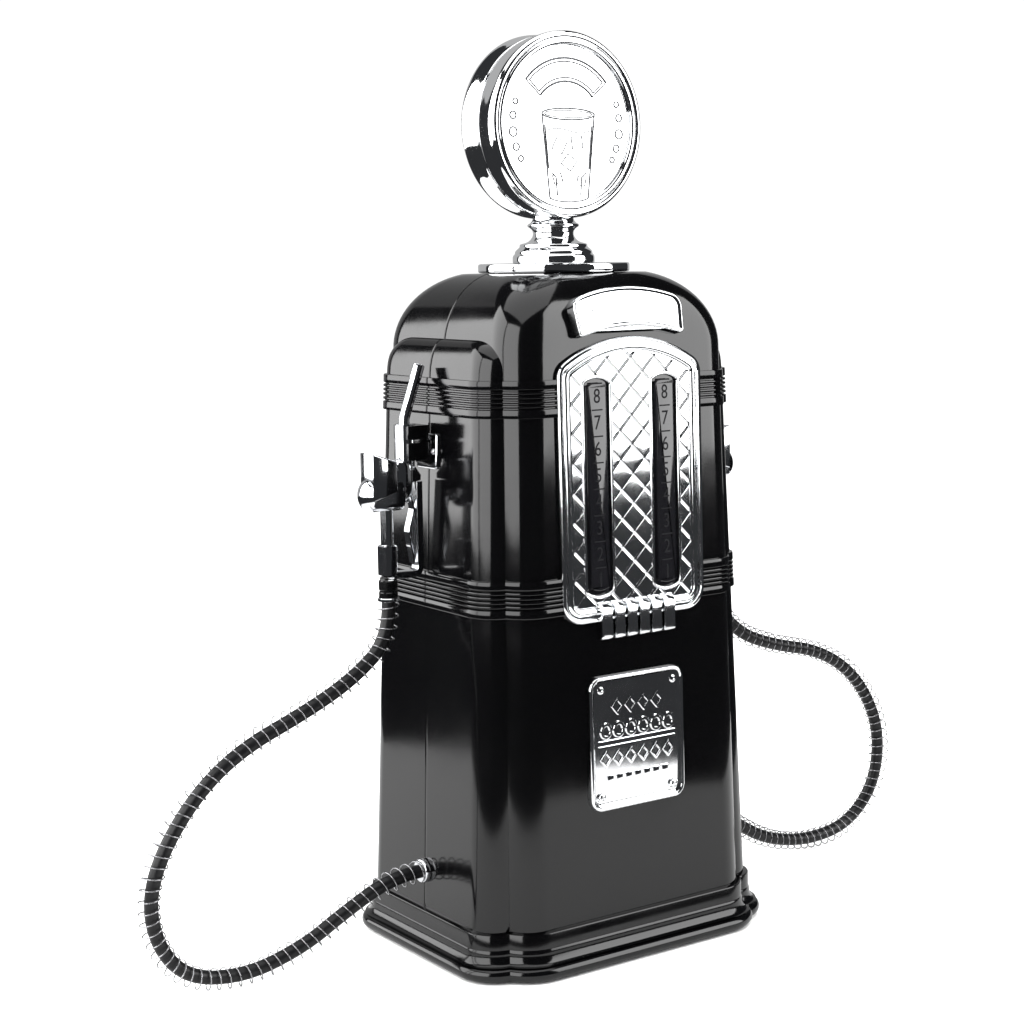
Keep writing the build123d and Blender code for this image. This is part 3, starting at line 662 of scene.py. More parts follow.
def front_panel():
    path = rounded_path(**PANEL)
    rim = [(0.0, 0.0), (0.0, 1.5), (-0.2, 2.25), (-0.7, 2.9), (-1.35, 3.15), (-2.0, 2.95), (-2.45, 2.35),
           (-2.6, 1.6), (-2.75, 1.35), (-3.6, 1.3), (-3.75, 1.6), (-3.95, 2.2), (-4.5, 2.7), (-5.3, 2.9),
           (-6.1, 2.75), (-6.7, 2.3), (-6.85, 1.95), (-7.1, 1.85), (-7.4, 2.05), (-7.75, 2.1), (-8.05, 1.85),
           (-8.15, 1.2)]
    shape = ring_on(path, rim, on_front)
    lip = [(0.0, -1.0), (0.0, 1.5), (0.15, 2.0), (0.55, 2.35), (1.05, 2.45), (1.5, 2.25), (1.75, 1.8),
           (1.85, 1.0)]
    for _, side in SIDES:
        shape.add(ring_on(window_path(), lip, on_front, (side * WINDOW_X, WINDOW_MID)))
    return shape.add(quilted_field())


def window_insert(side):
    """Glossy bar that stands in a sunk slot, nearly flush with the panel."""
    centre = (side * WINDOW_X, WINDOW_MID)
    top = (-2.9, BAR_H)
    profile = [(-0.15, -0.5), (-0.15, 0.4), (-2.1, 0.4), (-2.2, 0.5), (-2.2, 1.6), (-2.3, 1.9),
               (-2.55, 2.06), top]
    path = window_path()
    return ring_on(path, profile, on_front, centre).cap(path_row(path, *top, on_front, centre))


def scale_marks(side):
    """Digits 8 to 1 with a line above each, a hair proud of the insert."""
    shape = Shape()
    top, pitch, h = 300.6, 13.35, BAR_H
    x0 = side * WINDOW_X

    def bar(u0, u1, v0, v1):
        rows = [[(u0, v0), (u1, v0)], [(u0, v1), (u1, v1)]]
        shape.grid([[on_front(u, v, h + 0.05) for u, v in row] for row in rows])
        edge = [(u0, v0), (u1, v0), (u1, v1), (u0, v1)]
        shape.grid([[on_front(u, v, hh) for u, v in edge] for hh in (h - 0.05, h + 0.05)], wrap=True)

    for k in range(9):
        v = top - pitch * k
        if v > WINDOW_LOW + 1.5:
            bar(x0 - 3.4, x0 + 3.4, v - 0.35, v + 0.35)
    for k in range(8):
        curve = bpy.data.curves.new("digit", "FONT")
        curve.body = str(8 - k)
        curve.size = 10.4
        curve.align_x = "CENTER"
        curve.align_y = "CENTER"
        curve.extrude = 0.04
        curve.resolution_u = 4
        holder = bpy.data.objects.new("digit", curve)
        bpy.context.scene.collection.objects.link(holder)
        bpy.context.view_layer.update()
        mesh = bpy.data.meshes.new_from_object(holder)
        part = Shape()
        part.verts = [on_front(x0 + p.co.x * 0.86, top - pitch * (k + 0.5) + p.co.y, h + 0.02 + p.co.z)
                      for p in mesh.vertices]
        part.faces = [tuple(f.vertices) for f in mesh.polygons]
        shape.add(part)
        bpy.data.objects.remove(holder)
        bpy.data.meshes.remove(mesh)
        bpy.data.curves.remove(curve)
    return shape


def grille_block():
    """Six flat ribs with sloped tops and rounded feet."""
    profile = [(170.3, 0.0), (170.3, 3.6), (170.5, 4.6), (171.1, 5.4), (172.0, 5.75), (179.0, 5.8),
               (186.0, 5.8), (186.6, 5.65), (187.2, 5.2), (188.6, 3.6), (189.0, 3.0), (189.2, 2.2),
               (189.2, 0.0)]
    half, pitch = 24.0, 8.0
    columns = [(-half, 0.0), (-half, 0.55), (-half + 0.1, 0.8), (-half + 0.35, 0.93), (-half + 0.8, 1.0)]
    for k in range(6):
        c = -half + pitch * (k + 0.5)
        ribs = [(-2.9, 1.0), (0.0, 1.0), (2.3, 1.0), (2.75, 0.93), (2.95, 0.8), (3.05, 0.55), (3.15, 0.15),
                (3.85, 0.12), (4.45, 0.15), (4.55, 0.55), (4.65, 0.8), (4.8, 0.93), (5.1, 1.0)]
        if k == 5:
            ribs = [(-2.9, 1.0), (0.0, 1.0), (3.2, 1.0), (3.65, 0.93), (3.9, 0.8), (4.0, 0.55), (4.0, 0.0)]
        columns += [(c + du, f) for du, f in ribs]
    rows = [[on_front(u, v, h * f) for u, f in columns] for v, h in profile]
    return Shape().grid(rows)


def relief(outline, plane, low, high, slope=0.35):
    """Raised flat shape with sloped sides, from a closed outline of (u, v)."""
    n = len(outline)
    cu = sum(p[0] for p in outline) / n
    cv = sum(p[1] for p in outline) / n

    def shrunk(p, amount):
        d = math.hypot(p[0] - cu, p[1] - cv) or 1.0
        k = max(0.0, 1 - amount / d)
        return cu + (p[0] - cu) * k, cv + (p[1] - cv) * k

    rows = [[plane(*p, low) for p in outline],
            [plane(*p, high - slope * 0.4) for p in outline],
            [plane(*shrunk(p, slope), high) for p in outline]]
    return Shape().grid(rows, wrap=True).cap(rows[-1])


def ring_relief(cu, cv, r_out, r_in, plane, low, high, count=28, squash=1.0):
    mid = (r_out + r_in) / 2
    rows = []
    for radius, h in ((r_out, low), (r_out, high - 0.2), (r_out - 0.2, high), (mid, high + 0.05),
                      (r_in + 0.2, high), (r_in, high - 0.2), (r_in, low)):
        rows.append([plane(cu + u * squash, cv + v, h) for u, v in circle(radius, count)])
    return Shape().grid(rows, wrap=True)


def rectangle(cu, cv, half_u, half_v):
    return [(cu - half_u, cv - half_v), (cu + half_u, cv - half_v), (cu + half_u, cv + half_v),
            (cu - half_u, cv + half_v)]


def rounded_rect_path(half_w, low, high, r, n=10):
    path = []
    for cx, cz, start in ((1, -1, -90), (1, 1, 0), (-1, 1, 90), (-1, -1, 180)):
        x = cx * (half_w - r)
        z = high - r if cz > 0 else low + r
        path += facing_arc(x, z, r, start, start + 90, n)
    return path


def on_badge(u, v, h):
    """Sunk field of the badge, which stands a little prouder at its top."""
    return on_front(u, v, h + 0.027 * (v - 115.6))


def badge_plate():
    """Rimmed badge with a plain ornament in relief in place of wording."""
    path = rounded_rect_path(30.8, 80.4, 150.8, 7.0)
    profile = [(0.0, 0.0), (0.0, 1.3), (-0.2, 1.95), (-0.6, 2.4), (-1.1, 2.55), (-1.7, 2.35), (-2.1, 1.9),
               (-2.4, 1.5), (-3.0, 1.3), (-3.5, 1.0), (-4.2, 0.2)]
    shape = ring_on(path, profile, on_front)
    shape.cap(path_row(path, -2.6, 1.2, on_badge))
    for v in (116.4, 113.6):
        shape.add(relief(rectangle(0, v, 25.0, 0.65), on_badge, 1.0, 1.9, 0.25))
    for k in range(4):
        u = -12.9 + 8.6 * k
        shape.add(ring_relief(u, 134.5, 4.7, 2.7, on_badge, 1.0, 2.0, 4, 0.86))
    for k in range(6):
        u = -20.5 + 8.2 * k
        shape.add(ring_relief(u, 122.1, 4.4, 2.5, on_badge, 1.0, 2.0, 24, 0.84))
        shape.add(ring_relief(u, 107.3, 4.7, 2.7, on_badge, 1.0, 2.0, 4, 0.84))
    for k in range(7):
        shape.add(relief(rectangle(-18 + 6 * k, 96.2, 2.1, 2.6), on_badge, 1.0, 1.9, 0.5))
    return shape


def dome_screws(points, plane, radius, low):
    """Domed heads with a plain round recess."""
    profile = ((1.0, 0.0), (1.0, 0.35), (0.92, 0.75), (0.7, 1.1), (0.5, 1.22), (0.42, 1.2), (0.36, 0.8),
               (0.2, 0.55), (0.0, 0.5))
    shape = Shape()
    for u, v in points:
        rows = []
        for share, h in profile:
            rows.append([plane(u + du, v + dv, low + h) for du, dv in circle(max(0.01, radius * share), 28)])
        shape.grid(rows, wrap=True)
    return shape


LABEL_TILT = math.radians(13.0)
LABEL_AT = (0.0, -(BODY_D - BODY_LEAN * 335.0) - 0.2, 335.0)


def on_label(u, v, h):
    s, c = math.sin(LABEL_TILT), math.cos(LABEL_TILT)
    return (u, LABEL_AT[1] + s * v - c * h, LABEL_AT[2] + c * v + s * h)


def label_path():
    """Arched band outline with its outward normals."""
    def arc(half, apex, drop, count):
        radius = (half ** 2 + drop ** 2) / (2 * drop)
        cz = apex - radius
        reach = math.asin(half / radius)
        return [((radius * math.sin(a), cz + radius * math.cos(a)), (math.sin(a), math.cos(a)))
                for a in [reach * k / count for k in range(count + 1)]]

    top = arc(29.2, 13.6, 4.3, 12)
    low = arc(30.8, -6.8, 4.4, 12)
    right = list(top)
    (x0, z0), (nx, nz) = top[-1]
    centre = (x0 - nx * 7.5, z0 - nz * 7.5)
    right += facing_arc(*centre, 7.5, math.degrees(math.atan2(nz, nx)), -14, 12)[1:]
    (x1, z1), (mx, mz) = low[-1]
    foot = (x1 + mx * 2.2, z1 + mz * 2.2)
    right += facing_arc(*foot, 2.2, -14, -90 - math.degrees(math.atan2(mx, mz)), 8)
    right += [((x, z), (-nx_, -nz_)) for (x, z), (nx_, nz_) in reversed(low[:-1])]
    left = [((-p[0], p[1]), (-q[0], q[1])) for p, q in reversed(right[1:-1])]
    return right + left


def top_label():
    path = label_path()
    profile = [(0.0, -9.0), (0.0, 1.7), (-0.15, 2.3), (-0.55, 2.7), (-1.0, 2.8), (-1.5, 2.6), (-1.9, 2.15),
               (-2.3, 1.95), (-2.8, 1.9)]
    shape = ring_on(path, profile, on_label)
    shape.cap(path_row(path, -2.8, 1.9, on_label))
    radius = 90.0
    for k in range(9):
        a = (k - 4) * math.radians(3.7)
        u, v = radius * math.sin(a), 3.3 - radius + radius * math.cos(a)
        shape.add(ring_relief(u, v, 2.0, 1.3, on_label, 1.7, 2.25, 4, 0.8))
    return shape


# ---------------------------------------------------------------- globe, neck and lid
def globe_half(sign):
    """Bezel of two rounded steps that runs into a softly tapered drum; the seam is a shallow groove."""
    profile = [(41.1, 12.6), (41.1, 14.4)]
    profile += oval_arc(42.6, 14.7, 1.5, 0.9, 180, 0, 8)
    profile += oval_arc(45.9, 12.9, 2.2, 2.6, 150, 0, 14)[1:]
    profile += [(48.08, 11.6), (48.0, 10.4), (47.85, 8.8), (47.6, 6.6), (47.35, 4.0), (47.2, 1.6),
                (47.1, 0.9), (46.9, 0.55), (46.5, 0.35), (46.0, 0.3), (45.6, 0.15), (43.0, 0.15)]
    return lathe([(r, sign * y) for r, y in profile], 160, (0, 0, GLOBE_Z), "Y")


def face_plane(sign):
    def plane(u, v, h):
        return (-sign * u, sign * (13.2 + h), GLOBE_Z + v)
    return plane


RIDGE = ((-1.0, 0.0), (-0.85, 0.45), (-0.5, 0.85), (0.0, 1.0), (0.5, 0.85), (0.85, 0.45), (1.0, 0.0))


def arch_strip(r0, r1, a0, a1, plane, low, high, count=40):
    """Raised strip between two radii over an arc of degrees."""
    rows = []
    for share, h in RIDGE:
        r = (r0 + r1) / 2 + (r1 - r0) * 0.5 * share
        rows.append([plane(u, v, low + (high - low) * h) for u, v in arc_points(0, 0, r, a0, a1, count)])
    return Shape().grid(rows)


def strip(points, width, plane, low, high, closed=False):
    """Raised line of constant width along points."""
    n = len(points)
    sides = []
    for k, p in enumerate(points):
        a = points[(k - 1) % n] if closed or k > 0 else p
        b = points[(k + 1) % n] if closed or k < n - 1 else p
        d = Vector((b[0] - a[0], b[1] - a[1])).normalized()
        sides.append((-d.y * width / 2, d.x * width / 2))
    rows = [[plane(p[0] + s[0] * share, p[1] + s[1] * share, low + (high - low) * h)
             for p, s in zip(points, sides)] for share, h in RIDGE]
    return Shape().grid(rows, wrap=closed)


def globe_face(sign):
    """Plain disc inside a fine raised ring."""
    plane = face_plane(sign)
    disc = [[plane(u, v, h) for u, v in circle(r, 128)]
            for r, h in ((41.1, -0.6), (41.1, 0.0), (40.9, 0.25), (40.5, 0.35), (40.1, 0.25), (39.9, 0.0),
                         (36.0, 0.02), (24.0, 0.03), (10.0, 0.03), (0.05, 0.03))]
    return Shape().grid(disc, wrap=True)


def globe_relief(sign):
    """Blank arched banner, small rings and a plain tumbler in raised lines."""
    plane = face_plane(sign)
    shape = Shape()
    low, high = -0.05, 0.6
    for r0, r1, reach in ((21.6, 22.9, 49), (33.5, 34.8, 49), (23.7, 24.6, 46.5), (31.9, 32.8, 46.5)):
        shape.add(arch_strip(r0, r1, 90 - reach, 90 + reach, plane, low, high))
    for side in (-1, 1):
        for inner, outer, reach in ((22.3, 34.1, 49), (24.2, 32.3, 46.5)):
            a = math.radians(90 + side * reach)
            ends = [(inner * math.cos(a), inner * math.sin(a)), (outer * math.cos(a), outer * math.sin(a))]
            shape.add(strip(ends, 0.8, plane, low, high))
        for angle, radius in ((19, 1.5), (7, 1.9), (-7, 2.4), (-20, 1.9), (-31, 1.5)):
            a = math.radians(angle)
            u, v = side * 34.4 * math.cos(a), 34.4 * math.sin(a)
            dot = [(u + du, v + dv) for du, dv in circle(radius, 20)]
            shape.add(strip(dot, 0.95, plane, low, high, True))

    def line(points, width, closed=False):
        drawn = [(u * 1.3 + 1.0, v * 1.12 - 7.0) for u, v in points]
        shape.add(strip(drawn, width, plane, low, high, closed))

    rim = [(13.0 * u, 11.2 + 2.6 * v) for u, v in circle(1.0, 40)]
    line(rim, 1.0, True)
    line([(u * 0.9, 11.2 + (v - 11.2) * 0.62) for u, v in rim], 0.7, True)
    for side in (-1, 1):
        line([(side * 13.0, 11.2), (side * 9.6, -27.0)], 1.0)
        line([(side * 11.6, 6.0), (side * 10.0, -14.0)], 0.8)
        line([(side * 5.8, -26.4), (side * 6.4, -18.0), (side * 8.6, -15.6)], 0.8)
    line(oval_arc(0, -27.0, 9.6, 2.2, 180, 360, 15), 1.0)
    line([(-10.6 + 21.2 * k / 24, 3.6 + 0.9 * math.sin(k / 24 * 2 * math.pi)) for k in range(25)], 0.7)
    for cu, cv, half, turn in ((-4.6, -3.4, 3.9, 20), (4.2, -1.8, 3.7, 52), (0.2, -11.0, 4.0, 8),
                               (6.2, -19.6, 2.9, 35), (-5.6, -18.6, 3.0, 60)):
        line(arc_points(cu, cv, half, turn, turn + 270, 3), 0.8, True)
    return shape


def neck_shape():
    profile = [(0.4, 360.4), (21.2, 360.4), (21.7, 360.8), (21.75, 362.0), (21.7, 363.8), (21.4, 364.6),
               (20.9, 365.0), (20.6, 365.5), (20.5, 366.4), (20.0, 367.2), (19.0, 368.1), (18.2, 368.8),
               (17.95, 369.4), (17.9, 370.1), (17.5, 370.5), (16.4, 370.8), (14.8, 371.2), (13.4, 371.8),
               (12.2, 372.8), (11.3, 374.0), (10.8, 375.2), (10.75, 376.2), (11.0, 377.3), (11.7, 378.4),
               (12.8, 379.2), (13.5, 379.6), (13.7, 380.0), (13.65, 380.6), (13.2, 381.0), (12.2, 381.5),
               (11.3, 382.5), (10.9, 383.6), (10.8, 385.0), (10.2, 386.2), (0.4, 386.2)]
    return lathe(profile, 96)


def lid_shape():
    profile = [(0.05, 355.7), (39.2, 355.7), (39.9, 355.9), (40.2, 356.5), (40.2, 359.5), (39.9, 360.1),
               (39.2, 360.4), (36.5, 360.42), (0.05, 360.42)]
    return lathe(profile, 128)


# ---------------------------------------------------------------- nozzle
def prism(points, half_y):
    """Closed flat piece in the XZ plane."""
    front = [(x, -half_y, z) for x, z in points]
    back = [(x, half_y, z) for x, z in points]
    shape = Shape().cap(front).cap(list(reversed(back)))
    shape.grid([front, back], wrap=True)
    return shape


def circle_round(centre, a, b, radius, sides):
    """Circle round the centre in the plane of two directions."""
    return [tuple(centre + a * u + b * v) for u, v in circle(radius, sides)]


def tube_along(points, radius, sides=20):
    """Round bar through points, with flat ends; the radius may be a list with one for each point."""
    path = [Vector(p) for p in points]
    rows = []
    normal = None
    for k, p in enumerate(path):
        tangent = (path[min(k + 1, len(path) - 1)] - path[max(k - 1, 0)]).normalized()
        if normal is None:
            normal = tangent.orthogonal().normalized()
        normal = (normal - tangent * normal.dot(tangent)).normalized()
        other = tangent.cross(normal)
        r = radius[k] if isinstance(radius, (list, tuple)) else radius
        rows.append(circle_round(p, normal, other, r, sides))
    return Shape().bar(rows)


def smooth_path(points, rounds=3):
    """Corner-cut polyline."""
    pts = [Vector(p) for p in points]
    for _ in range(rounds):
        out = [pts[0]]
        for a, b in zip(pts, pts[1:]):
            out += [a.lerp(b, 0.25), a.lerp(b, 0.75)]
        out.append(pts[-1])
        pts = out
    return pts


def flat_strip(points, thick, half_y, rounds=3):
    """Bent strip in the XZ plane with rounded edges."""
    path = smooth_path([(x, 0, z) for x, z in points], rounds)
    rows = []
    for k, p in enumerate(path):
        t = (path[min(k + 1, len(path) - 1)] - path[max(k - 1, 0)]).normalized()
        n = Vector((-t.z, 0, t.x))
        b = min(0.35, thick / 3)
        section = [(-thick / 2 + b, -half_y), (thick / 2 - b, -half_y), (thick / 2, -half_y + b),
                   (thick / 2, half_y - b), (thick / 2 - b, half_y), (-thick / 2 + b, half_y),
                   (-thick / 2, half_y - b), (-thick / 2, -half_y + b)]
        rows.append([tuple(p + n * s + Vector((0, y, 0))) for s, y in section])
    return Shape().bar(rows)


def nozzle_body():
    """Shouldered block, rounded knuckle over the trigger pivot, domed barrel and neck."""
    block = [(103.6, 262.4), (118.2, 267.4), (118.2, 242.4), (103.6, 246.6)]
    shape = prism(block, 6.6).bevelled(0.9, 3)
    knuckle = [(0.02, 262.3), (3.6, 262.2), (5.4, 261.5), (6.3, 259.8), (6.55, 257.0), (6.5, 251.0),
               (6.1, 247.0), (5.0, 243.6), (3.2, 241.6), (0.02, 241.0)]
    shape.add(lathe(knuckle, 40, (98.6, 0, 0)))
    core = [(97.0, 260.8), (104.5, 262.0), (106.0, 250.6), (92.2, 250.8), (88.0, 251.6), (87.8, 254.2),
            (91.4, 259.2)]
    shape.add(prism(core, 3.0))
    profile = [(0.02, 99.2), (7.4, 99.2), (8.3, 99.6), (8.7, 100.4), (8.7, 116.0)]
    profile += oval_arc(0, 116.2, 8.7, 5.9, 6, 83, 11)
    profile.append((0.02, 122.1))
    barrel = lathe(profile, 48, (0, 0, 245.5), "X")
    shape.add(barrel.moved(lambda x, y, z: (x, y if x > 117.6 else max(-6.2, min(6.2, y)), z)))
    neck = [(0.02, 256.6), (4.3, 256.6), (5.0, 257.2), (5.0, 262.0), (5.0, 279.6), (4.6, 280.5), (3.6, 280.8),
            (0.02, 280.8)]
    shape.add(lathe(neck, 40, (NECK_X, 0, 0)))
    return shape


def spout_shape():
    bend = smooth_path([(NECK_X, 0, 280.6), (NECK_X, 0, 283.4), (94.3, 0, 286.0)], 3)
    path = [Vector((NECK_X, 0, 262.0)), Vector((NECK_X, 0, 272.0))] + bend
    elbow, end = Vector((NECK_X, 0, 283.2)), Vector((85.6, 0, 310.4))
    direction = (end - elbow).normalized()
    path += [end - direction * d for d in (20.0, 12.0, 8.2)]
    radii = [2.8] * len(path)
    path += [end - direction * d for d in (7.9, 7.5, 7.2, 0.4, 0.12)]
    radii += [2.8, 3.0, 3.05, 3.05, 2.9]
    mouth = [end - direction * d for d in (0.1, 0.0, 0.3, 5.0)]
    return tube_along(path, radii, 28).add(tube_along(mouth, [2.9, 2.5, 1.9, 1.8], 28))


def guard_shape():
    """Square sleeve on the handle with a flat guard bar that runs under and up in front of the trigger."""
    sleeve = Shape()
    rows = []
    for grow, z in ((-0.7, 203.5), (0.0, 204.1), (0.0, 218.9), (-0.7, 219.5)):
        ring = rounded_ring(4.25 + grow, 4.4 + grow, 2.3 + grow * 0.5, 6)
        rows.append([(HANDLE_X + x, y, z) for x, y in ring])
    sleeve.bar(rows)
    bar = flat_strip([(105.0, 203.6), (97.0, 203.3), (91.6, 203.4), (89.2, 204.6), (88.7, 208.0),
                      (88.7, 230.0), (88.7, 250.9)], 3.7, 3.0, 3)
    return sleeve.add(bar)


def trigger_shape():
    blade = flat_strip([(99.5, 248.2), (96.2, 246.0), (93.6, 243.6), (92.3, 239.5), (91.9, 236.0),
                        (93.4, 231.0), (95.0, 225.8), (94.3, 220.0), (93.2, 216.0), (92.2, 208.8)],
                       1.4, 2.2, 4)
    pivot = lathe([(1.05, -2.2), (2.0, -2.2), (2.2, -2.0), (2.2, 2.0), (2.0, 2.2), (1.05, 2.2)], 28,
                  (99.5, 0, 248.2), "Y")
    return blade.add(pivot)


def clip_shape():
    """Forked clip: a waisted C that opens outwards round the nozzle neck."""
    def layer(z0, z1, arms, half, round_to):
        outer = [(85.0, -half), (arms, -half), (arms, -5.4), (NECK_X, -5.4)]
        outer += arc_points(NECK_X, 0, 5.3, -102, -258, 13)
        outer += [(NECK_X, 5.4), (arms, 5.4), (arms, half), (85.0, half)]
        low = [(x, y, z0) for x, y in outer]
        high = [(x, y, z1) for x, y in outer]
        part = Shape().cap(low).cap(list(reversed(high))).grid([low, high], wrap=True)
        return part.bevelled(round_to, 3, 40)

    shape = layer(262.2, 271.2, 97.4, 7.1, 0.45)
    shape.add(layer(272.8, 280.0, 97.4, 7.1, 0.45))
    shape.add(prism([(84.6, 268.0), (88.0, 268.0), (88.0, 275.0), (84.6, 275.0)], 5.0))
    root = prism([(82.4, 258.6), (86.0, 260.2), (86.0, 272.0), (82.0, 272.0)], 5.0)
    return shape.add(root.bevelled(0.6, 2))


def wall_point(u, v, h):
    """Point u along, v up and h out of the leaning cheek wall, from the middle of the holder plate."""
    lean = math.atan(CHEEK_LEAN)
    n = Vector((math.cos(lean), 0, math.sin(lean)))
    up = Vector((-math.sin(lean), 0, math.cos(lean)))
    at = Vector((CHEEK_W - CHEEK_LEAN * HOLDER_Z, 0, HOLDER_Z))
    return tuple(at + n * h + up * v + Vector((0, u, 0)))


def holder_plate():
    rows = []
    for grow, h in ((0.0, 0.0), (0.0, 1.1), (-0.3, 1.5), (-0.9, 1.7)):
        ring = rounded_ring(9.5 + grow, 9.0 + grow, 1.6 + grow * 0.5, 5)
        rows.append([wall_point(u, v, h) for u, v in ring])
    return Shape().grid(rows, wrap=True).cap(list(reversed(rows[-1])))


# ---------------------------------------------------------------- hoses
def route_line(name, points):
    """Points of the smooth line that the route's control points give."""
    curve = bpy.data.curves.new(name, "CURVE")
    curve.dimensions = "3D"
    spline = curve.splines.new("NURBS")
    spline.points.add(len(points) - 1)
    for slot, p in zip(spline.points, points):
        slot.co = (*p, 1)
    spline.order_u = 3
    spline.use_endpoint_u = True
    spline.resolution_u = 16
    holder = bpy.data.objects.new(name, curve)
    bpy.context.scene.collection.objects.link(holder)
    bpy.context.view_layer.update()
    mesh = bpy.data.meshes.new_from_object(holder)
    line = [v.co.copy() for v in mesh.vertices]
    bpy.data.objects.remove(holder)
    bpy.data.meshes.remove(mesh)
    bpy.data.curves.remove(curve)
    return line


def frames(line):
    """Tangent and two steady side directions at each point of a line, with the distance along it."""
    out, normal, run = [], None, 0.0
    for k, p in enumerate(line):
        tangent = (line[min(k + 1, len(line) - 1)] - line[max(k - 1, 0)]).normalized()
        if normal is None:
            normal = Vector((0, 1, 0))
        normal = (normal - tangent * normal.dot(tangent)).normalized()
        if k:
            run += (p - line[k - 1]).length
        out.append((p, normal, tangent.cross(normal), run))
    return out


def hose_tube(line, radius, sides=24):
    rows = [circle_round(p / MM, a, b, radius / MM, sides) for p, a, b, _ in frames(line)]
    return Shape().bar(rows)


def guard_coil(line, radius, wire, pitch, out):
    """Spring wound round the line, a little uneven; it hangs off the hose to the outside of the loop."""
    random.seed(7 + out)
    data = frames(line)
    total = data[-1][3]
    steps_per_turn = 14
    count = int(total / pitch * steps_per_turn)
    sway = [(random.uniform(0, 6.28), random.uniform(0.02, 0.09), random.uniform(8, 40)) for _ in range(4)]
    path, k = [], 0
    for i in range(count + 1):
        s = total * i / count
        while k < len(data) - 2 and data[k + 1][3] < s:
            k += 1
        p0, a0, b0, s0 = data[k]
        p1, a1, b1, s1 = data[k + 1]
        t = (s - s0) / max(1e-9, s1 - s0)
        p, a, b = p0.lerp(p1, t), a0.lerp(a1, t).normalized(), b0.lerp(b1, t).normalized()
        angle = 2 * math.pi * s / pitch
        angle += sum(size * 6 * math.sin(phase + s * rate) for phase, size, rate in sway)
        r = radius * (1 + 0.03 * math.sin(s * 90 + sway[0][0]))
        centre = p + b * (out * COIL_SWAY * math.sin(math.pi * s / total) ** 2)
        path.append((centre + (a * math.cos(angle) + b * math.sin(angle)) * r) / MM)
    return tube_along(path, wire / MM, 7)


# ---------------------------------------------------------------- build: case and trim
for tag, sign in (("front", -1), ("rear", 1)):
    case_half(sign).build(f"{tag}_case", BLACK, CASE, (f"{tag}_shell",), "shell_plastic", 32, (0, 0, 200))
base_skirt().build("base_moulding", BLACK_BASE, CASE, ("base_skirt",), "base_plastic", 32, (0, 0, 10))
front_panel().build("lattice_panel", CHROME_TRIM, CASE, ("front_panel",), "bright_chrome", 38, (0, 0, 250))
grille_block().build("ribbed_block", CHROME_TRIM, CASE, ("lower_grille",), "bright_chrome", 40, (0, 0, 180))
badge_plate().build("blank_badge", CHROME_TRIM, CASE, ("lower_badge",), "bright_chrome", 38, (0, 0, 115))
top_label().build("blank_label", CHROME_TRIM, CASE, ("top_label",), "bright_chrome", 38, (0, 0, 330))
dome_screws([(u, v) for u in (-23.6, 23.6) for v in (87.5, 143.9)], on_front, 2.3, 1.2).build(
    "badge_fixings", CHROME_TRIM, CASE, ("badge_screws",), "screw_steel", 40, (0, 0, 115))
for side_name, side in SIDES:
    window_insert(side).build(f"window_insert_{side_name}", WINDOW, CASE, (f"window_lens_{side_name}",),
                              "window_clear", 32, (side * WINDOW_X, 0, 250))
    scale_marks(side).build(f"scale_marks_{side_name}", SCALE_INK, CASE, (f"level_scale_{side_name}",),
                            "scale_white", 30)

screw_rings = Shape()
for u in (-57.0, 57.0):
    for v in (59.0, 296.0):
        screw_rings.add(ring_relief(u, v, 4.4, 3.0, on_back, -1.2, 0.4, 32))
screw_rings.build("screw_bosses", BLACK, CASE, (), "shell_plastic", 40)

# ---------------------------------------------------------------- build: lid group
lid_shape().build("lid_disc", CHROME, "lid", ("lid_plate",), "bright_chrome", 40)
neck_shape().build("turned_neck", CHROME, "lid", ("neck",), "bright_chrome", 50)
for tag, sign in (("front", -1), ("rear", 1)):
    for name, shape, mat, hides, sharp in (
            ("shell", globe_half(sign), CHROME, (f"globe_{tag}",), 45),
            ("disc", globe_face(sign), CHROME_TRIM, (f"globe_face_{tag}",), 35),
            ("relief", globe_relief(sign), RELIEF_PAINTED_SHADE, (), 80)):
        shape.build(f"globe_{name}_{tag}", mat, "lid", hides, "bright_chrome", sharp, (0, 0, GLOBE_Z))


# ---------------------------------------------------------------- build: nozzles
def sided(shape, side):
    return shape if side > 0 else shape.mirrored()


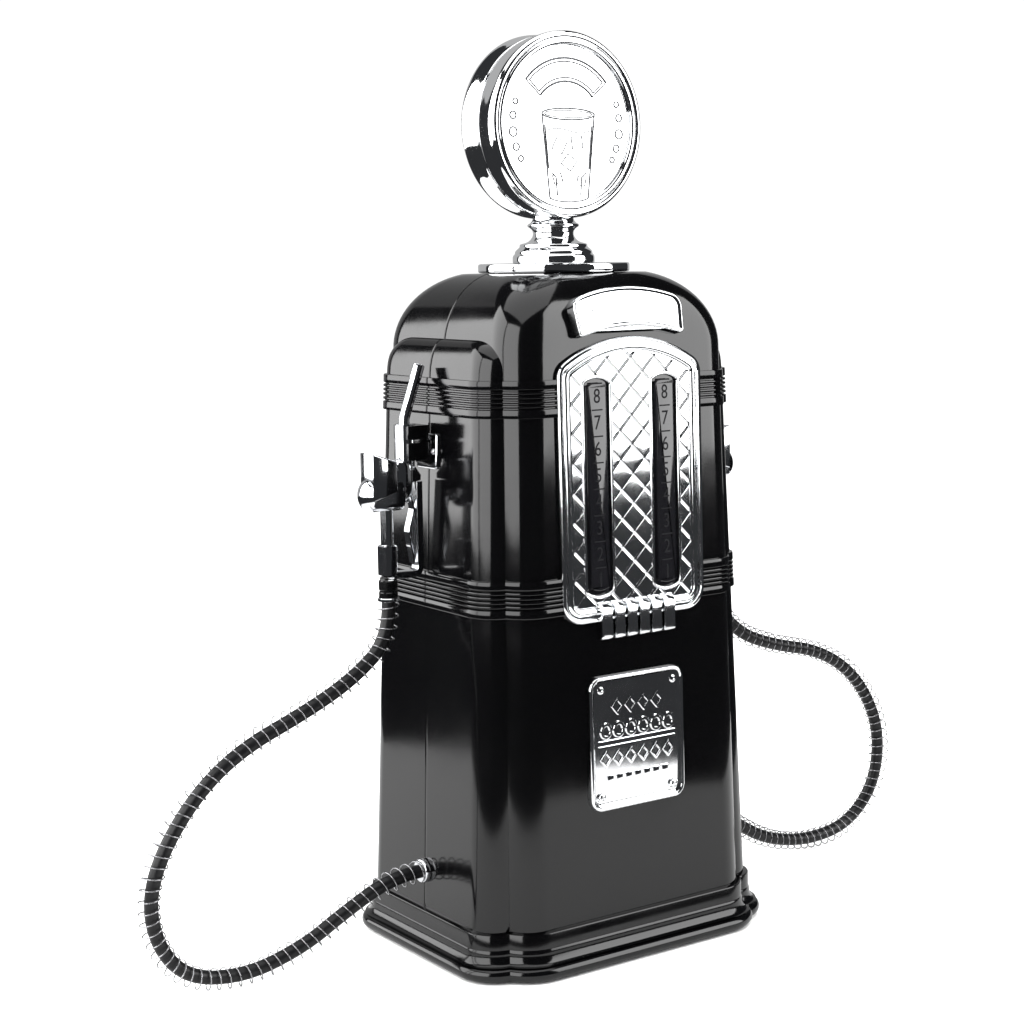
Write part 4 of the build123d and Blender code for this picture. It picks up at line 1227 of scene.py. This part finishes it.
for side_name, side in SIDES:
    body = f"nozzle_{side_name}"

    def nozzle_piece(shape, name, node, mat, slot, sharp=35, rides=body):
        sided(shape, side).build(f"{name}_{side_name}", mat, rides, (f"{node}_{side_name}",), slot, sharp)

    nozzle_piece(nozzle_body(), "valve_block", "nozzle_body", CHROME_NOZZLE, "bright_chrome")
    nozzle_piece(spout_shape(), "spout_tube", "spout", CHROME_NOZZLE, "bright_chrome")
    nozzle_piece(guard_shape(), "guard_bar", "trigger_guard", CHROME_NOZZLE, "bright_chrome")
    nozzle_piece(trigger_shape(), "trigger_blade", "trigger", CHROME_NOZZLE, "bright_chrome", 35,
                 f"trigger_{side_name}")
    handle = lathe([(1.8, 203.5), (3.3, 203.5), (3.3, 220.0), (3.3, 237.6), (1.8, 237.6)], 36,
                   (HANDLE_X, 0, 0))
    nozzle_piece(handle, "handle", "handle_tube", CHROME_NOZZLE, "bright_chrome")
    fitting = lathe([(1.8, 191.0), (4.6, 191.0), (4.9, 191.4), (4.9, 195.0), (4.6, 195.4), (4.6, 196.2),
                     (4.9, 196.6), (4.9, 201.0), (4.4, 201.6), (1.8, 201.6)], 36, (HANDLE_X, 0, 0))
    nozzle_piece(fitting, "hose_collar", "hose_fitting", BLACK_CLIP, "black_metal")
    ring = lathe([(3.9, 190.4), (5.2, 190.4), (5.6, 190.8), (5.6, 192.0), (5.2, 192.4), (3.9, 192.4)], 36,
                 (HANDLE_X, 0, 0))
    sided(ring, side).build(f"hose_ring_{side_name}", CHROME_NOZZLE, body, (), "bright_chrome", 40)
    sided(clip_shape(), side).build(f"neck_clip_{side_name}", BLACK_CLIP, CASE, (f"holder_clip_{side_name}",),
                                    "badge_plastic", 35)
    sided(holder_plate(), side).build(f"clip_plate_{side_name}", CHROME_NOZZLE, CASE,
                                      (f"holder_plate_{side_name}",), "bright_chrome", 35)
screw_shape = Shape()
for _, side in SIDES:
    screw_shape.add(sided(dome_screws([(-7.2, 0.0), (7.2, 0.0)], wall_point, 1.6, 1.7), side))
screw_shape.build("clip_screws", STEEL, CASE, ("holder_screws",), "screw_steel", 40)

# ---------------------------------------------------------------- build: hoses
for side_name, side in SIDES:
    points = ROUTES[side_name]
    line = route_line(f"hose_line_{side_name}", points)
    tube = hose_tube(line, HOSE_D / 2).build(f"drink_hose_{side_name}", HOSE_RUBBER, None, (), None, 40)
    coil = guard_coil(line, COIL_R, COIL_WIRE, COIL_PITCH, side).build(
        f"hose_spring_{side_name}", WIRE, None, (), None, 60)
    for piece, node, slot in ((tube, f"hose_{side_name}", "hose_rubber"),
                              (coil, f"hose_guard_{side_name}", "bright_chrome")):
        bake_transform(piece)
        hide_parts(node)
    [tuple(p) for p in line]
    collar = lathe([(3.8, 88.7), (5.6, 88.7), (6.2, 88.9), (6.4, 89.4), (6.4, 91.0), (6.2, 91.5), (5.8, 91.8),
                    (3.6, 91.8)], 40, (0, 0, INLET_Z), "X")
    sided(collar, side).build(f"inlet_ring_{side_name}", CHROME_NOZZLE, CASE, (f"hose_inlet_{side_name}",),
                              "bright_chrome", 40)

# ---------------------------------------------------------------- CAD nodes that stay as they are
KEPT = {
    "base_plate": UNDERSIDE, "rubber_feet": RUBBER, "base_screws": STEEL, "case_screws": STEEL,
    "tank_left": TANK, "tank_right": TANK, "inner_tube_left": SILICONE, "inner_tube_right": SILICONE,
    "lid_seal_left": SILICONE, "lid_seal_right": SILICONE, "neck_rod": STEEL, "neck_nuts": STEEL,
    "trigger_pin_left": STEEL, "trigger_pin_right": STEEL, "valve_plunger_left": STEEL,
    "valve_plunger_right": STEEL, "valve_spring_left": WIRE, "valve_spring_right": WIRE,
}
for node, mat in KEPT.items():
    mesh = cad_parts[node].data
    mesh.materials.clear()
    mesh.materials.append(mat)


# ---------------------------------------------------------------- stage, lights and camera
def stage_disc(name, radius, shift, z, shade):
    mat, tree, shader, at = node_material(f"pale_paper_{name}", (shade, shade, shade), 0.9)
    tree.links.new(tinted(tree, noise(tree, at, 6, 3), (shade * 0.97,) * 3, (shade * 1.02,) * 3),
                   shader.inputs["Base Color"])
    shader.inputs["Specular IOR Level"].default_value = 0.1
    obj = Shape().cap([(x, y + shift, z) for x, y in circle(radius, 96)]).build(name, mat, None)
    return obj


floor = stage_disc("floor", 6000.0, 0.0, -0.4, 0.9)
floor.visible_glossy = False
table = stage_disc("table_top", 505.0, 90.0, -0.05, 0.5)
table.visible_camera = False
table.visible_diffuse = False
table.visible_shadow = False

world = bpy.data.worlds.new("studio")
bpy.context.scene.world = world
world.use_nodes = True
tree = world.node_tree
path = tree.nodes.new("ShaderNodeLightPath")
seen = tree.nodes.new("ShaderNodeBackground")
seen.inputs["Color"].default_value = (1, 1, 1, 1)
seen.inputs["Strength"].default_value = 1.05
room = tree.nodes["Background"]
room.inputs["Color"].default_value = (0.9, 0.93, 1.0, 1)
room.inputs["Strength"].default_value = 0.035
mix = tree.nodes.new("ShaderNodeMixShader")
tree.links.new(path.outputs["Is Camera Ray"], mix.inputs[0])
tree.links.new(room.outputs[0], mix.inputs[1])
tree.links.new(seen.outputs[0], mix.inputs[2])
tree.links.new(mix.outputs[0], tree.nodes["World Output"].inputs["Surface"])


def light_panel(name, width, height, radiance, location):
    """Rectangular light that faces down until it is turned."""
    light = bpy.data.lights.new(name, "AREA")
    light.shape = "RECTANGLE"
    light.size = width
    light.size_y = height
    light.energy = radiance * math.pi * width * height
    obj = bpy.data.objects.new(name, light)
    obj.location = location
    obj.visible_camera = False
    bpy.context.scene.collection.objects.link(obj)
    return obj


def softbox(name, bearing, distance, width, low, high, radiance):
    """Upright panel; bearing is in degrees from the front (-Y) towards the right (+X)."""
    a = math.radians(bearing)
    centre = Vector((distance * math.sin(a), -distance * math.cos(a), (low + high) / 2))
    panel = light_panel(name, width, high - low, radiance, centre)
    panel.rotation_euler = (Vector((0, 0, centre.z)) - centre).to_track_quat("-Z", "Y").to_euler()


softbox("right_front_softbox", 45, 1.5, 0.92, 0.16, 1.9, 6.5)
softbox("left_front_softbox", -74, 1.5, 1.3, 0.10, 1.9, 5.5)
softbox("left_back_softbox", -126, 1.5, 1.4, 0.08, 1.9, 5.5)
softbox("lit_backdrop", 158, 1.7, 3.0, 0.0, 1.7, 0.45)
light_panel("overhead_softbox", 2.2, 2.2, 2.2, (0, 0, 2.1))

sun = bpy.data.lights.new("even_floor_light", "SUN")
sun.energy = 4.6
sun.angle = math.radians(100)
sun_object = bpy.data.objects.new("even_floor_light", sun)
sun_object.location = (0, 0, 3)
sun_object.visible_glossy = False
bpy.context.scene.collection.objects.link(sun_object)

right = Vector(FORWARD).cross(Vector((0, 0, 1))).normalized()
up = right.cross(Vector(FORWARD))
roll = math.radians(ROLL)
axis_x = right * math.cos(roll) + up * math.sin(roll)
axis_y = up * math.cos(roll) - right * math.sin(roll)
camera = bpy.data.objects.new("camera", bpy.data.cameras.new("camera"))
camera.data.lens = LENS
camera.data.sensor_width = 36.0
camera.data.clip_start = 0.02
turned = Matrix((axis_x, axis_y, -Vector(FORWARD))).transposed().to_4x4()
camera.matrix_world = Matrix.Translation(EYE) @ turned
bpy.context.scene.collection.objects.link(camera)
bpy.context.scene.camera = camera
bpy.context.scene.view_settings.view_transform = "Standard"
